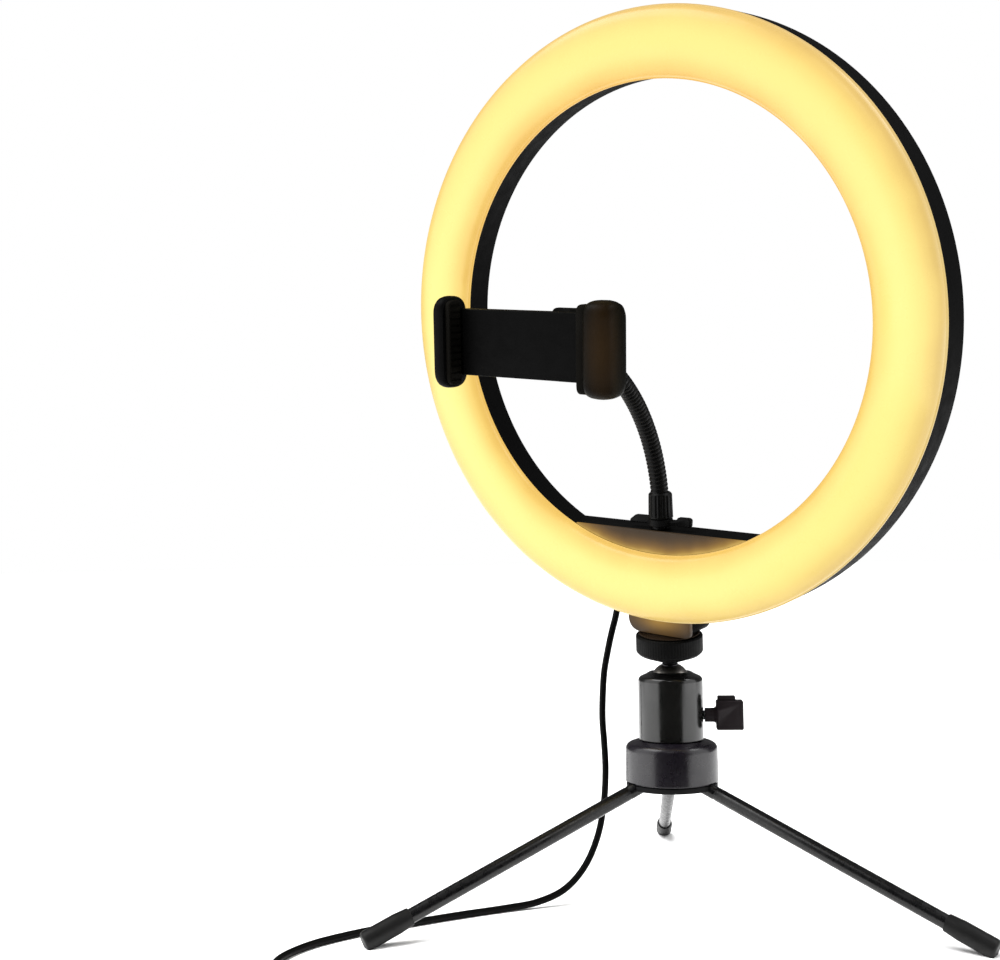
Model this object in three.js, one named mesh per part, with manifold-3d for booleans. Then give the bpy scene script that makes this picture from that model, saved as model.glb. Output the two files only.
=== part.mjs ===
// Desktop ring light: a 260 mm LED ring on a ball head and folding mini tripod,
// with a phone clamp on a gooseneck and a USB cord with an inline controller.
// Millimetres, +Z up. The ring's front faces -Y.
import * as THREE from 'three';
import { mergeVertices } from 'three/addons/utils/BufferGeometryUtils.js';
import Module from 'manifold-3d';

const wasm = await Module();
wasm.setup();

// ---------------------------------------------------------------- driving dimensions
const GAP = 0.3; // clearance between touching pieces
const DEG = Math.PI / 180;

// Ring head, in the ring's own frame: centre at the origin, seam plane at y = 0.
const RING = { outer: 130, inner: 100.4, depth: 18, backInner: 102.6, wall: 2 };
const RING_SIDES = 48;
const DIFFUSER = { bulge: 6.5, wall: 1.8 };
const DRIVER = { top: -90.5, wall: 1.8 };
const FOOT = { left: -16, right: 15.5, bottom: -136.3, back: 18.8 };

// Stand. The stud axis runs 8.5 mm behind the seam plane, 160 mm below the ring's centre.
const STUD_Y = 8.5;
const BALL = { z: 96, radius: 8.9, toRing: 160 };
const REST_PITCH = 10 * DEG;
const REST_ROLL = 6 * DEG;
const HUB = { radius: 20.5, rim: 53.3, top: 71 };
const HOUSING = { radius: 14.3, bottom: 71.3 };
const KNOB = { angle: 35 * DEG, z: 81.7 };
const LEG = { angles: [243, 3, 125], slope: 21.6 * DEG, pivotR: 12.5, pivotZ: 53.3, radius: 3 };
const LEG_FOOT = { radius: 4.1, start: 117.6, end: 138.7 };

// Phone holder: the neck is an arc in a plane of constant x, then a ball joint and a clamp.
const NECK = { x: -1.5, y: 6.3, z: -83, arc: 79, radius: 3.9, first: 7.5, step: 13.2, links: 5, gap: 1 };
const SWIVEL = { along: 16.5, radius: 5 };
const CLAMP = { z: -3.7, back: -77, front: -83, left: -36.5, right: 30, height: 25.8, turn: 1.6 * DEG };
const JAW = { depth: 15, height: 36, fixed: 6, sliding: 11, corner: 7 };

// Cord.
const CORD_R = 1.5;
const CORD_SIDES = 8;
const FLOOR_Z = 1.6; // height of the cord's centreline where it lies on the table
const CONTROLLER = { x: 5.5, y: -149.4, angle: 35.5 * DEG, length: 62, width: 19, height: 10 };
const COIL = { mean: 16.5, turnsAcross: 6, layers: 2, clear: 13.5 };

// The whole light is moved by this much, so that its box without the cord is centred.
const CENTRE = { x: -16.7, y: 5.5 };

// ---------------------------------------------------------------- materials
const material = (color, roughness, metalness = 0) =>
  new THREE.MeshStandardMaterial({ color, roughness, metalness });
const blackPlastic = () => material(0x0d0d0e, 0.5);
const glossBlack = () => material(0x141416, 0.18);
const rubber = () => material(0x111111, 0.9);
const steel = () => material(0xa8a9ab, 0.35, 0.9);
const brass = () => material(0xc9a24a, 0.35, 0.9);
const blackMetal = () => material(0x1a1a1c, 0.3, 0.6);
const diffuserPlastic = () => {
  const glowing = material(0xffe38a, 0.35);
  glowing.emissive = new THREE.Color(0xffd76a);
  glowing.emissiveIntensity = 0.8;
  return glowing;
};
const circuitBoard = () => material(0xe9e9e2, 0.6);

// ---------------------------------------------------------------- geometry helpers
const pt = (x, y) => new THREE.Vector2(x, y);

// A closed geometry as a solid that can be joined and cut.
function solid(geometry) {
  const bare = geometry.clone();
  bare.deleteAttribute('normal');
  bare.deleteAttribute('uv');
  const merged = mergeVertices(bare, 1e-4);
  const index = merged.index.array;
  const faces = [];
  for (let i = 0; i < index.length; i += 3) {
    const [a, b, c] = [index[i], index[i + 1], index[i + 2]];
    if (a !== b && b !== c && c !== a) faces.push(a, b, c);
  }
  const mesh = new wasm.Mesh({
    numProp: 3,
    vertProperties: new Float32Array(merged.attributes.position.array),
    triVerts: new Uint32Array(faces),
  });
  return new wasm.Manifold(mesh);
}

// A solid back as a geometry.
function geometryOf(body) {
  const mesh = body.getMesh();
  const geometry = new THREE.BufferGeometry();
  geometry.setAttribute('position', new THREE.BufferAttribute(mesh.vertProperties, 3));
  geometry.setIndex(new THREE.BufferAttribute(mesh.triVerts, 1));
  geometry.computeVertexNormals();
  return geometry;
}

function join(first, ...others) {
  return geometryOf(others.reduce((sum, other) => sum.add(solid(other)), solid(first)));
}

function cut(first, ...others) {
  return geometryOf(others.reduce((rest, other) => rest.subtract(solid(other)), solid(first)));
}

// A turned piece about the Y axis, with its faces outwards whichever way the profile runs.
function turned(points, sides) {
  let area = 0;
  points.forEach((p, i) => {
    const q = points[(i + 1) % points.length];
    area += p.x * q.y - q.x * p.y;
  });
  const profile = area > 0 ? points : [...points].reverse();
  return new THREE.LatheGeometry(profile, sides);
}

// A turned ring, whose profile closes on itself.
function turnedRing(points, sides) {
  return turned([...points, points[0]], sides);
}

// The same two, about the Z axis.
const turnedZ = (points, sides) => turned(points, sides).rotateX(Math.PI / 2);
const turnedRingZ = (points, sides) => turnedRing(points, sides).rotateX(Math.PI / 2);

function rod(radius, from, to, sides = 12) {
  return new THREE.CylinderGeometry(radius, radius, to - from, sides).translate(0, (from + to) / 2, 0);
}

const rodZ = (radius, from, to, sides = 12) => rod(radius, from, to, sides).rotateX(Math.PI / 2);
const rodX = (radius, from, to, sides = 12) => rod(radius, from, to, sides).rotateZ(-Math.PI / 2);

function block(x0, x1, y0, y1, z0, z1) {
  const box = new THREE.BoxGeometry(x1 - x0, y1 - y0, z1 - z0);
  return box.translate((x0 + x1) / 2, (y0 + y1) / 2, (z0 + z1) / 2);
}

// An outline drawn in x and z, with its thickness along y.
function plate(shape, front, back, curveSegments = 4) {
  const settings = { depth: back - front, bevelEnabled: false, curveSegments };
  return new THREE.ExtrudeGeometry(shape, settings).rotateX(Math.PI / 2).translate(0, back, 0);
}

// An outline drawn in y and z, with its thickness along x.
function sidePlate(shape, left, right, curveSegments = 4) {
  const settings = { depth: right - left, bevelEnabled: false, curveSegments };
  const geometry = new THREE.ExtrudeGeometry(shape, settings);
  return geometry.rotateX(Math.PI / 2).rotateZ(Math.PI / 2).translate(left, 0, 0);
}

// A rectangle with a radius of its own at each corner, from the lower left round to the upper left.
function roundedRect(x0, x1, y0, y1, [ll, lr, ur, ul]) {
  const shape = new THREE.Shape();
  shape.moveTo(x0 + ll, y0);
  shape.lineTo(x1 - lr, y0);
  shape.absarc(x1 - lr, y0 + lr, lr, -Math.PI / 2, 0, false);
  shape.lineTo(x1, y1 - ur);
  shape.absarc(x1 - ur, y1 - ur, ur, 0, Math.PI / 2, false);
  shape.lineTo(x0 + ul, y1);
  shape.absarc(x0 + ul, y1 - ul, ul, Math.PI / 2, Math.PI, false);
  shape.lineTo(x0, y0 + ll);
  shape.absarc(x0 + ll, y0 + ll, ll, Math.PI, 1.5 * Math.PI, false);
  return shape;
}

function tube(points, radius = CORD_R, stepLength = 9, sides = CORD_SIDES) {
  const curve = new THREE.CatmullRomCurve3(points.map((p) => new THREE.Vector3(...p)), false, 'centripetal');
  const section = new THREE.Shape();
  for (let i = 0; i < sides; i += 1) {
    const angle = (i + 0.5) * 2 * Math.PI / sides;
    const corner = pt(radius * Math.cos(angle), radius * Math.sin(angle));
    if (i === 0) section.moveTo(corner.x, corner.y);
    else section.lineTo(corner.x, corner.y);
  }
  const steps = Math.max(2, Math.round(curve.getLength() / stepLength));
  return new THREE.ExtrudeGeometry(section, { steps, bevelEnabled: false, extrudePath: curve });
}

function add(parent, name, geometry, finish) {
  const mesh = new THREE.Mesh(geometry, finish);
  mesh.name = name;
  parent.add(mesh);
  return mesh;
}

function group(parent, x = 0, y = 0, z = 0) {
  const made = new THREE.Group();
  made.position.set(x, y, z);
  parent.add(made);
  return made;
}

// ---------------------------------------------------------------- ring head
// Points of the half-ellipse that bulges forward from the seam plane.
function bulgeArc(inner, outer, height, count) {
  const middle = (inner + outer) / 2;
  const half = (outer - inner) / 2;
  return Array.from({ length: count + 1 }, (_, i) => {
    const angle = Math.PI * i / count;
    return pt(middle + half * Math.cos(angle), -height * Math.sin(angle));
  });
}

function diffuser() {
  const { wall, bulge } = DIFFUSER;
  const outside = bulgeArc(RING.inner, RING.outer, bulge, 8);
  const inside = bulgeArc(RING.inner + wall, RING.outer - wall, bulge - wall, 4);
  return turnedRing([...outside, ...inside.reverse()], RING_SIDES);
}

// The open-fronted tray that holds the light-emitting board.
function tray() {
  const { outer, inner, depth, backInner, wall } = RING;
  const chamfer = 2.5;
  return turnedRing([
    pt(outer, GAP),
    pt(outer, depth - 1.8),
    pt(outer - 1.8, depth),
    pt(backInner + chamfer, depth),
    pt(backInner, depth - chamfer),
    pt(101.9, 9),
    pt(inner, GAP),
    pt(inner + wall, GAP),
    pt(backInner + wall, depth - wall),
    pt(outer - wall, depth - wall),
    pt(outer - wall, GAP),
  ], RING_SIDES);
}

// The part of a round disc that lies below a level line.
function below(disc, level) {
  return solid(disc).intersect(solid(block(-140, 140, -5, 30, -140, level)));
}

function driverCompartment() {
  const shell = turned([
    pt(0, 2.3),
    pt(101.2, 2.3),
    pt(102.7, 9),
    pt(104.8, 15.5),
    pt(106.4, 17.9),
    pt(0, 17.9),
  ], RING_SIDES);
  const hollow = turned([pt(0, 1), pt(99.6, 1), pt(99.6, 16), pt(0, 16)], RING_SIDES);
  return { shell: below(shell, DRIVER.top), hollow: below(hollow, DRIVER.top - DRIVER.wall) };
}

function footOutline(corners) {
  return roundedRect(FOOT.left, FOOT.right, FOOT.bottom, -120, corners);
}

const SCREW_ANGLES = [35, 145, 215, 325];
const SCREW_CIRCLE = 116;

// A copy of a Y-axis shape at each screw place.
function atScrews(make) {
  return SCREW_ANGLES.map((degrees) => {
    const angle = degrees * DEG;
    return make().translate(SCREW_CIRCLE * Math.cos(angle), 0, SCREW_CIRCLE * Math.sin(angle));
  });
}

function rearHousing() {
  const { shell, hollow } = driverCompartment();
  const footBlock = solid(plate(footOutline([7, 6, 0.5, 0.5]), 3.3, FOOT.back))
    .subtract(solid(rod(128.3, -1, 20, RING_SIDES)));
  let body = solid(tray()).add(shell).add(footBlock).subtract(hollow);
  body = body.subtract(solid(rodZ(4.7, -140, -130.3, 16).translate(0, STUD_Y, 0)));
  for (const hole of atScrews(() => rod(1.7, 15, 19, 8))) body = body.subtract(solid(hole));
  return geometryOf(body);
}

function footCover() {
  const outline = plate(footOutline([7, 2.5, 0.5, 0.5]), GAP, 3);
  return cut(outline, rod(RING.outer + 0.35, -1, 5, RING_SIDES));
}

// Flat ring with a row of square light emitters on its front.
function ledBoard() {
  const emitters = 24;
  const board = turnedRing([pt(106.8, 12.2), pt(125.6, 12.2), pt(125.6, 13.8), pt(106.8, 13.8)], 36);
  let body = solid(board);
  for (const hole of atScrews(() => rod(1.7, 11, 15, 8))) body = body.subtract(solid(hole));
  for (let i = 0; i < emitters; i += 1) {
    const angle = (i + 0.5) * 2 * Math.PI / emitters;
    const emitter = block(-1.5, 1.5, 11.4, 12.5, 109.5, 112.5).rotateY(angle);
    body = body.add(solid(emitter));
  }
  return geometryOf(body);
}

function housingScrew() {
  return turned([pt(0, 10.8), pt(1.35, 10.8), pt(1.35, 18.3), pt(2.9, 18.3), pt(2.9, 19.2), pt(1.9, 19.9),
    pt(0, 19.9)], 8);
}

function driverCover() {
  const half = Math.sqrt(100 ** 2 - DRIVER.top ** 2);
  const angle = Math.atan2(DRIVER.top, half);
  const shape = new THREE.Shape();
  shape.moveTo(half, DRIVER.top);
  shape.lineTo(-half, DRIVER.top);
  shape.absarc(0, 0, 100, Math.PI - angle, 2 * Math.PI + angle, false);
  return plate(shape, 0.5, 2, 10);
}

function driverBoard() {
  const board = block(-20, 20, 9, 10.2, -97.2, -93.2);
  return join(board, block(-14, -9, 6, 9.1, -96.8, -93.6), block(-3, 4, 7, 9.1, -96.8, -93.6),
    block(9, 15, 5.5, 9.1, -96.8, -93.6));
}

function threadedInsert() {
  return turnedRingZ([pt(3.5, -136.1), pt(4.4, -136.1), pt(4.4, -130.6), pt(3.5, -130.6)], 16)
    .translate(0, STUD_Y, 0);
}

const EXIT = { angle: 12.6 * DEG, y: 11 };

// Tapered collar where the cord leaves the tray, pointing out and down.
function cordGland() {
  const collar = turned([pt(0, 130.3), pt(3.1, 130.3), pt(3.1, 131), pt(2.3, 133.6), pt(0, 133.6)], 12);
  return collar.rotateX(-Math.PI / 2).rotateY(EXIT.angle).translate(0, EXIT.y, 0);
}

function addRingHead(ring) {
  add(ring, 'diffuser', diffuser(), diffuserPlastic());
  add(ring, 'rear_housing', rearHousing(), blackPlastic());
  add(ring, 'led_board', ledBoard(), circuitBoard());
  atScrews(housingScrew).forEach((geometry, i) => {
    add(ring, `housing_screw_${i + 1}`, geometry, blackMetal());
  });
  add(ring, 'driver_cover', driverCover(), blackPlastic());
  add(ring, 'driver_board', driverBoard(), circuitBoard());
  add(ring, 'foot_cover', footCover(), blackPlastic());
  add(ring, 'threaded_insert', threadedInsert(), brass());
  add(ring, 'cord_gland', cordGland(), rubber());
}

// ---------------------------------------------------------------- ball head
// Heights here are above the ball's centre, along the stud.
function ballStud() {
  return turnedZ([
    pt(0, 9.2),
    pt(2.6, 9.2),
    pt(2.6, 10.3),
    pt(3.1, 10.9),
    pt(3.1, 27.8),
    pt(2.4, 28.6),
    pt(0, 28.6),
  ], 16);
}

function thumbWheel() {
  return turnedRingZ([pt(3.45, 10.6), pt(6, 10.6), pt(13.6, 13.6), pt(14.75, 14.8), pt(14.75, 22.4),
    pt(3.45, 22.4)], 24);
}

function wheelPad() {
  return turnedRingZ([pt(3.9, 22.7), pt(13.5, 22.7), pt(13.5, 23.4), pt(3.9, 23.4)], 20);
}

function addBallHead(tilted) {
  const ball = new THREE.SphereGeometry(BALL.radius, 16, 10).rotateX(Math.PI / 2);
  add(tilted, 'ball', ball, steel());
  add(tilted, 'ball_stud', ballStud(), steel());
  add(tilted, 'thumb_wheel', thumbWheel(), blackPlastic());
  add(tilted, 'wheel_pad', wheelPad(), rubber());
}

// Points of the round socket inside the housing, from the widest level up to a height.
function socketArc(radius, topHeight, count) {
  return Array.from({ length: count + 1 }, (_, i) => {
    const height = topHeight * i / count;
    return pt(Math.sqrt(radius ** 2 - height ** 2), BALL.z + height);
  });
}

function ballHousing() {
  const { radius, bottom } = HOUSING;
  const socket = BALL.radius + GAP;
  const body = turnedZ([
    pt(0, 80),
    pt(socket, 80),
    ...socketArc(socket, 4.5, 2),
    pt(9, 100.6),
    pt(12.4, 99.2),
    pt(radius, 95),
    pt(radius, bottom),
    pt(0, bottom),
  ], 24);
  const boltHole = rodZ(3.4, 70, 78);
  const sideHole = rodX(2.6, 7, 16, 12).rotateZ(KNOB.angle).translate(0, 0, KNOB.z);
  return cut(body, boltHole, sideHole);
}

function ballSeat() {
  return turnedRingZ([
    pt(3.5, 80.5),
    pt(8.8, 80.5),
    pt(8.8, 91.5),
    pt(8.25, 91.5),
    pt(5.4, 88),
    pt(3.5, 87),
  ], 16);
}

function lockScrew() {
  return rodX(2.2, 9.2, 17.3, 12);
}

function lockKnob() {
  const profile = [pt(0, 14.9), pt(3.1, 14.9), pt(3.1, 19), pt(4.2, 20.4), pt(0, 20.4)];
  const collar = turned(profile, 16).rotateZ(-Math.PI / 2);
  const paddle = sidePlate(roundedRect(-3.4, 3.4, -6.4, 6.4, [1.6, 1.6, 1.6, 1.6]), 19.9, 31.8, 3);
  const rib = block(20.6, 28.4, -2.2, 2.2, 6, 8.3);
  const bore = rodX(2.5, 10, 17.6, 12);
  return cut(join(collar, paddle, rib), bore);
}

function addLock(tripod) {
  const lock = group(tripod, 0, 0, KNOB.z);
  lock.rotation.z = KNOB.angle;
  add(lock, 'lock_screw', lockScrew(), steel());
  add(lock, 'lock_knob', lockKnob(), blackPlastic());
}

// ---------------------------------------------------------------- tripod
// The slot that a leg swings in, drawn outwards along +X.
function legSlot(top) {
  return block(LEG.pivotR - 3.4, 24, -3.4, 3.4, 49, top);
}

function atLegs(make) {
  return LEG.angles.map((degrees) => make().rotateZ(degrees * DEG));
}

function hubShell() {
  const { radius, rim, top } = HUB;
  const shell = turnedRingZ([
    pt(radius, rim),
    pt(radius, 64.6),
    pt(18.9, 69),
    pt(14.8, top),
    pt(3.5, top),
    pt(3.5, 69.2),
    pt(14.6, 69.2),
    pt(18.7, 64.2),
    pt(18.7, rim),
  ], 28);
  return cut(shell, ...atLegs(() => legSlot(55)));
}

function hubBase() {
  const disc = turnedZ([pt(0, 50.6), pt(20.1, 50.6), pt(20.1, 53), pt(18.3, 53), pt(18.3, 63.8),
    pt(14.4, 68.7), pt(0, 68.7)], 24);
  const pinHoles = atLegs(() => rod(1.5, -5.2, 5.2, 8).translate(LEG.pivotR, 0, LEG.pivotZ));
  return cut(disc, rodZ(3.4, 49, 70), rodZ(5.5, 49, 56), ...atLegs(() => legSlot(56.8)), ...pinHoles);
}

function hubBolt() {
  return turnedZ([
    pt(0, 52.4),
    pt(5.1, 52.4),
    pt(5.1, 55.7),
    pt(3.05, 55.7),
    pt(3.05, 77.4),
    pt(0, 77.4),
  ], 12);
}

// A leg lies along +X from its hinge pin, and is turned down to its slope afterwards.
function leg() {
  const root = new THREE.SphereGeometry(LEG.radius, 10, 6);
  const bar = rodX(LEG.radius, 0, 129.7, 10);
  return cut(join(root, bar), rod(1.5, -4, 4, 8));
}

function legFoot() {
  const { radius, start, end } = LEG_FOOT;
  const cap = turned([pt(0, start), pt(radius - 0.4, start), pt(radius, start + 6), pt(radius, end - 1),
    pt(radius - 1, end), pt(0, end)], 12).rotateZ(-Math.PI / 2);
  const bore = rodX(LEG.radius + GAP, start - 1, 130.2, 10);
  const floor = block(80, 160, -8, 8, -LEG.pivotZ - 20, -LEG.pivotZ).rotateY(-LEG.slope);
  return cut(cap, bore, floor);
}

function addTripod(tripod) {
  add(tripod, 'hub_shell', hubShell(), glossBlack());
  add(tripod, 'hub_base', hubBase(), blackPlastic());
  add(tripod, 'hub_bolt', hubBolt(), steel());
  add(tripod, 'ball_housing', ballHousing(), glossBlack());
  add(tripod, 'ball_seat', ballSeat(), blackPlastic());
  LEG.angles.forEach((degrees, i) => {
    const spoke = group(tripod);
    spoke.rotation.z = degrees * DEG;
    const hinge = group(spoke, LEG.pivotR, 0, LEG.pivotZ);
    add(hinge, `leg_pin_${i + 1}`, rod(1.2, -5, 5, 8), steel());
    const swing = group(hinge);
    swing.rotation.y = LEG.slope;
    add(swing, `leg_${i + 1}`, leg(), blackMetal());
    add(swing, `leg_foot_${i + 1}`, legFoot(), rubber());
  });
  addLock(tripod);
}

// ---------------------------------------------------------------- phone holder
// The neck's centreline in its own plane: x is distance forward, y is height.
function neckPoint(degrees) {
  const angle = degrees * DEG;
  const y = NECK.y - NECK.arc * (1 - Math.cos(angle));
  return new THREE.Vector3(NECK.x, y, NECK.z + NECK.arc * Math.sin(angle));
}

class NeckArc extends THREE.Curve {
  constructor(from, to) {
    super();
    this.from = from;
    this.to = to;
  }

  getPoint(t) {
    return neckPoint(this.from + (this.to - this.from) * t);
  }
}

function neckLink(number) {
  const halfGap = NECK.gap / 2 / NECK.arc / DEG;
  const from = NECK.first + (number - 1) * NECK.step;
  const curve = new NeckArc(from + halfGap, from + NECK.step - halfGap);
  const section = new THREE.Shape().absarc(0, 0, NECK.radius, 0, 2 * Math.PI, false);
  const settings = { steps: 3, bevelEnabled: false, curveSegments: 5, extrudePath: curve };
  return new THREE.ExtrudeGeometry(section, settings);
}

function neckPost() {
  return turnedZ([
    pt(0, -90.2),
    pt(4.2, -90.2),
    pt(4.2, -88.9),
    pt(2.4, -88.9),
    pt(2.4, -79),
    pt(0, -79),
  ], 16);
}

function wingNut() {
  const outline = roundedRect(6.2, 15.5, -88.5, -84.6, [1.4, 1.4, 1.8, 1]);
  const wing = () => join(block(4, 9, -1.1, 1.1, -88.4, -86), plate(outline, -1.3, 1.3, 3));
  const collar = turnedRingZ([pt(2.8, -88.6), pt(5.6, -88.6), pt(5, -85.7), pt(2.8, -85.7)], 12);
  return join(collar, wing(), wing().rotateZ(Math.PI));
}

function neckSleeve() {
  const profile = [pt(0, -85.3), pt(5.4, -85.3), pt(5.4, -84), pt(5.1, -74), pt(0, -74)];
  return cut(turnedZ(profile, 16), rodZ(2.7, -90, -78.4));
}

function addNeckBase(base) {
  add(base, 'neck_post', neckPost(), blackMetal());
  add(base, 'wing_nut', wingNut(), blackPlastic());
  add(base, 'neck_sleeve', neckSleeve(), blackMetal());
}

// The ball joint behind the clamp. Its +Y is the neck's end direction, from the neck's last point.
function addSwivel(end) {
  const { along, radius } = SWIVEL;
  const cavity = new THREE.SphereGeometry(radius + GAP, 12, 8).translate(0, along, 0);
  const cup = turned([pt(0, 0.8), pt(4.9, 0.8), pt(4.9, 8.6), pt(6.3, 10.2), pt(6.3, 15.6), pt(0, 15.6)], 14);
  add(end, 'swivel_cup', cut(cup, cavity), blackPlastic());
  const nut = turnedRing([pt(6.6, 9.4), pt(8, 9.4), pt(8, 18), pt(7.2, 18.8), pt(4.5, 18.8), pt(4.5, 16.8),
    pt(6.6, 16.2)], 16);
  add(end, 'joint_nut', cut(nut, cavity), blackPlastic());
}

function ballPost(centre) {
  const post = rod(1.9, -0.5, centre.y - CLAMP.back - GAP, 12);
  const ball = new THREE.SphereGeometry(SWIVEL.radius - 0.2, 12, 8);
  const placed = join(ball, post.rotateX(Math.PI));
  return placed.translate(centre.x, centre.y, centre.z);
}

function jawOutline() {
  const { depth, height, corner } = JAW;
  const { back, z } = CLAMP;
  return roundedRect(back - depth, back, z - height / 2, z + height / 2, Array(4).fill(corner));
}

function padOutline(inset) {
  const { depth, height, corner } = JAW;
  const low = CLAMP.z - height / 2 + inset;
  return roundedRect(CLAMP.back - depth + inset, CLAMP.front - 0.5, low, low + height - 2 * inset,
    [corner - inset, 0.6, 0.6, corner - inset].map((r) => Math.min(r, 3)));
}

// The plate is stepped back a little under the pads, so that its front face lies between them.
function clampPlate() {
  const { left, right, front, back, height, z } = CLAMP;
  const body = block(left + GAP, right - GAP, front, back, z - height / 2, z + height / 2);
  const hollow = block(left + 3, right + 1, front + 1.5, back - 1.5, z - 9, z + 9);
  const step = (from, to) => block(from, to, front - 1, front + 0.5, z - height, z + height);
  return cut(body, hollow, step(left, left + 2.6), step(right - 4.2, right));
}

// The jaw, its tongue inside the plate and the strap that runs behind the plate.
function slidingJaw() {
  const { left, right, front, back, z } = CLAMP;
  const railStart = left + 4;
  const jaw = sidePlate(jawOutline(), right, right + JAW.sliding);
  const rails = [-8.6, 4].map((low) =>
    block(railStart, right + 0.5, front + 1.8, back - 1.8, z + low, z + low + 4.6));
  const cross = block(right - 3.5, right + 0.5, front + 1.8, back - 1.8, z - 8.6, z + 8.6);
  const strap = block(5, right + 2, back + GAP, back + 1.8, z - 13.8, z + 14.2);
  const strapRoot = block(right, right + 2, back - 1, back + 1.8, z - 13.8, z + 14.2);
  return join(jaw, cross, ...rails, strap, strapRoot);
}

function clampSpring() {
  const { left, right, front, back, z } = CLAMP;
  return rodX(1.1, left + 3.4, right - 3.9, 8).translate(0, (front + back) / 2, z);
}

// The clamp is turned a little on its ball post, so that its right end hangs lower.
function addClamp(ring, ballCentre) {
  const { left, right, turn } = CLAMP;
  const { x, y, z } = ballCentre;
  add(ring, 'ball_post', ballPost(ballCentre), blackMetal());
  const pivot = group(ring, x, y, z);
  pivot.rotation.y = turn;
  const clamp = group(pivot, -x, -y, -z);
  add(clamp, 'clamp_plate', clampPlate(), blackPlastic());
  add(clamp, 'fixed_jaw', sidePlate(jawOutline(), left - JAW.fixed, left), blackPlastic());
  add(clamp, 'fixed_pad', sidePlate(padOutline(1.6), left + GAP, left + 2.3, 3), rubber());
  add(clamp, 'sliding_jaw', slidingJaw(), blackPlastic());
  add(clamp, 'sliding_pad', sidePlate(padOutline(1.6), right - 3.9, right - GAP, 3), rubber());
  add(clamp, 'clamp_spring', clampSpring(), steel());
}

function addPhoneHolder(ring) {
  addNeckBase(group(ring, NECK.x, NECK.y, 0));
  for (let i = 1; i <= NECK.links; i += 1) add(ring, `neck_link_${i}`, neckLink(i), blackMetal());
  const endDegrees = NECK.first + NECK.links * NECK.step;
  const endPoint = neckPoint(endDegrees);
  const end = group(ring, endPoint.x, endPoint.y, endPoint.z);
  end.rotation.x = endDegrees * DEG + Math.PI / 2;
  addSwivel(end);
  const forward = new THREE.Vector3(0, -Math.sin(endDegrees * DEG), Math.cos(endDegrees * DEG));
  addClamp(ring, endPoint.clone().addScaledVector(forward, SWIVEL.along));
}

// ---------------------------------------------------------------- cord
// The hanging stretch leaves the gland, falls beside the stand and lies round the left foot.
const DROP_ROUTE = [
  [-26.1, -3.1, 127.8],
  [-27.2, -3.1, 123.6],
  [-28.5, -4.1, 117.5],
  [-29.7, -5.6, 109.5],
  [-30.7, -7.4, 99.6],
  [-31.1, -8.4, 87.1],
  [-31.2, -8.5, 78.1],
  [-30.6, -8.2, 67.5],
  [-30, -8.4, 56],
  [-30, -10, 42],
  [-31, -13.5, 28],
  [-33.6, -20, 15.5],
  [-38, -29, 6.8],
  [-44.5, -40, 2.6],
  [-52, -53, FLOOR_Z],
  [-61, -72, FLOOR_Z],
  [-70, -94, FLOOR_Z],
  [-78, -118, FLOOR_Z],
  [-81, -140, FLOOR_Z],
  [-76, -160, FLOOR_Z],
  [-62, -172, FLOOR_Z],
  [-45, -176, FLOOR_Z],
];

function alongController(distance, side = 0, height = 0) {
  const c = Math.cos(CONTROLLER.angle);
  const s = Math.sin(CONTROLLER.angle);
  return [CONTROLLER.x + distance * c - side * s, CONTROLLER.y + distance * s + side * c, height];
}

// The coil's outer turn passes in front of the controller's gland, and the plug's lead leaves it
// along the same line.
const COIL_OUTER = COIL.mean + (COIL.turnsAcross - 1) * CORD_R;
const GLAND_END = CONTROLLER.length / 2 + GAP + 6;
const COIL_CENTRE = alongController(GLAND_END + COIL.clear, -COIL_OUTER);
const PLUG_START = alongController(GLAND_END + 2 * COIL.clear);

function controllerShell(low, high, inset) {
  const half = CONTROLLER.length / 2;
  const wide = CONTROLLER.width / 2;
  const corners = Array(4).fill(5 - inset);
  const outline = roundedRect(-half + inset, half - inset, -wide + inset, wide - inset, corners);
  const settings = { depth: high - low, bevelEnabled: false, curveSegments: 2 };
  return new THREE.ExtrudeGeometry(outline, settings).translate(0, 0, low);
}

const BUTTON_PLACES = [-19.5, -6.5, 6.5, 19.5];

// The lower shell carries the two tapered sleeves that the cord passes through.
function controllerBottom() {
  const shell = controllerShell(0.1, 4.8, 0);
  const hollow = controllerShell(1.6, 6, 1.5);
  return cut(join(shell, controllerGland(0), controllerGland(Math.PI)), hollow);
}

function controllerTop() {
  const shell = controllerShell(5.1, CONTROLLER.height, 0.2);
  const hollow = controllerShell(4, 8.4, 1.7);
  return cut(shell, hollow, ...BUTTON_PLACES.map((x) => rodZ(3.7, 7, 12, 10).translate(x, 0, 0)));
}

function controllerButton() {
  return turnedZ([pt(0, 6), pt(3.3, 6), pt(3.3, 10.6), pt(2.8, 11.1), pt(0, 11.1)], 10);
}

function controllerGland(turn) {
  const start = CONTROLLER.length / 2 - 1;
  const sleeve = turned([pt(0, start), pt(2.3, start), pt(1.9, GLAND_END), pt(0, GLAND_END)], 10);
  return sleeve.rotateZ(-Math.PI / 2).rotateZ(turn).translate(0, 0, 2.6);
}

function addController(light) {
  const controller = group(light, CONTROLLER.x, CONTROLLER.y, 0);
  controller.rotation.z = CONTROLLER.angle;
  add(controller, 'controller_bottom', controllerBottom(), blackPlastic());
  add(controller, 'controller_top', controllerTop(), blackPlastic());
  add(controller, 'controller_board', block(-24, 24, -6, 6, 3.4, 4.8), circuitBoard());
  BUTTON_PLACES.forEach((x, i) => {
    add(controller, `controller_button_${i + 1}`, controllerButton().translate(x, 0, 0), rubber());
  });
}

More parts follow.
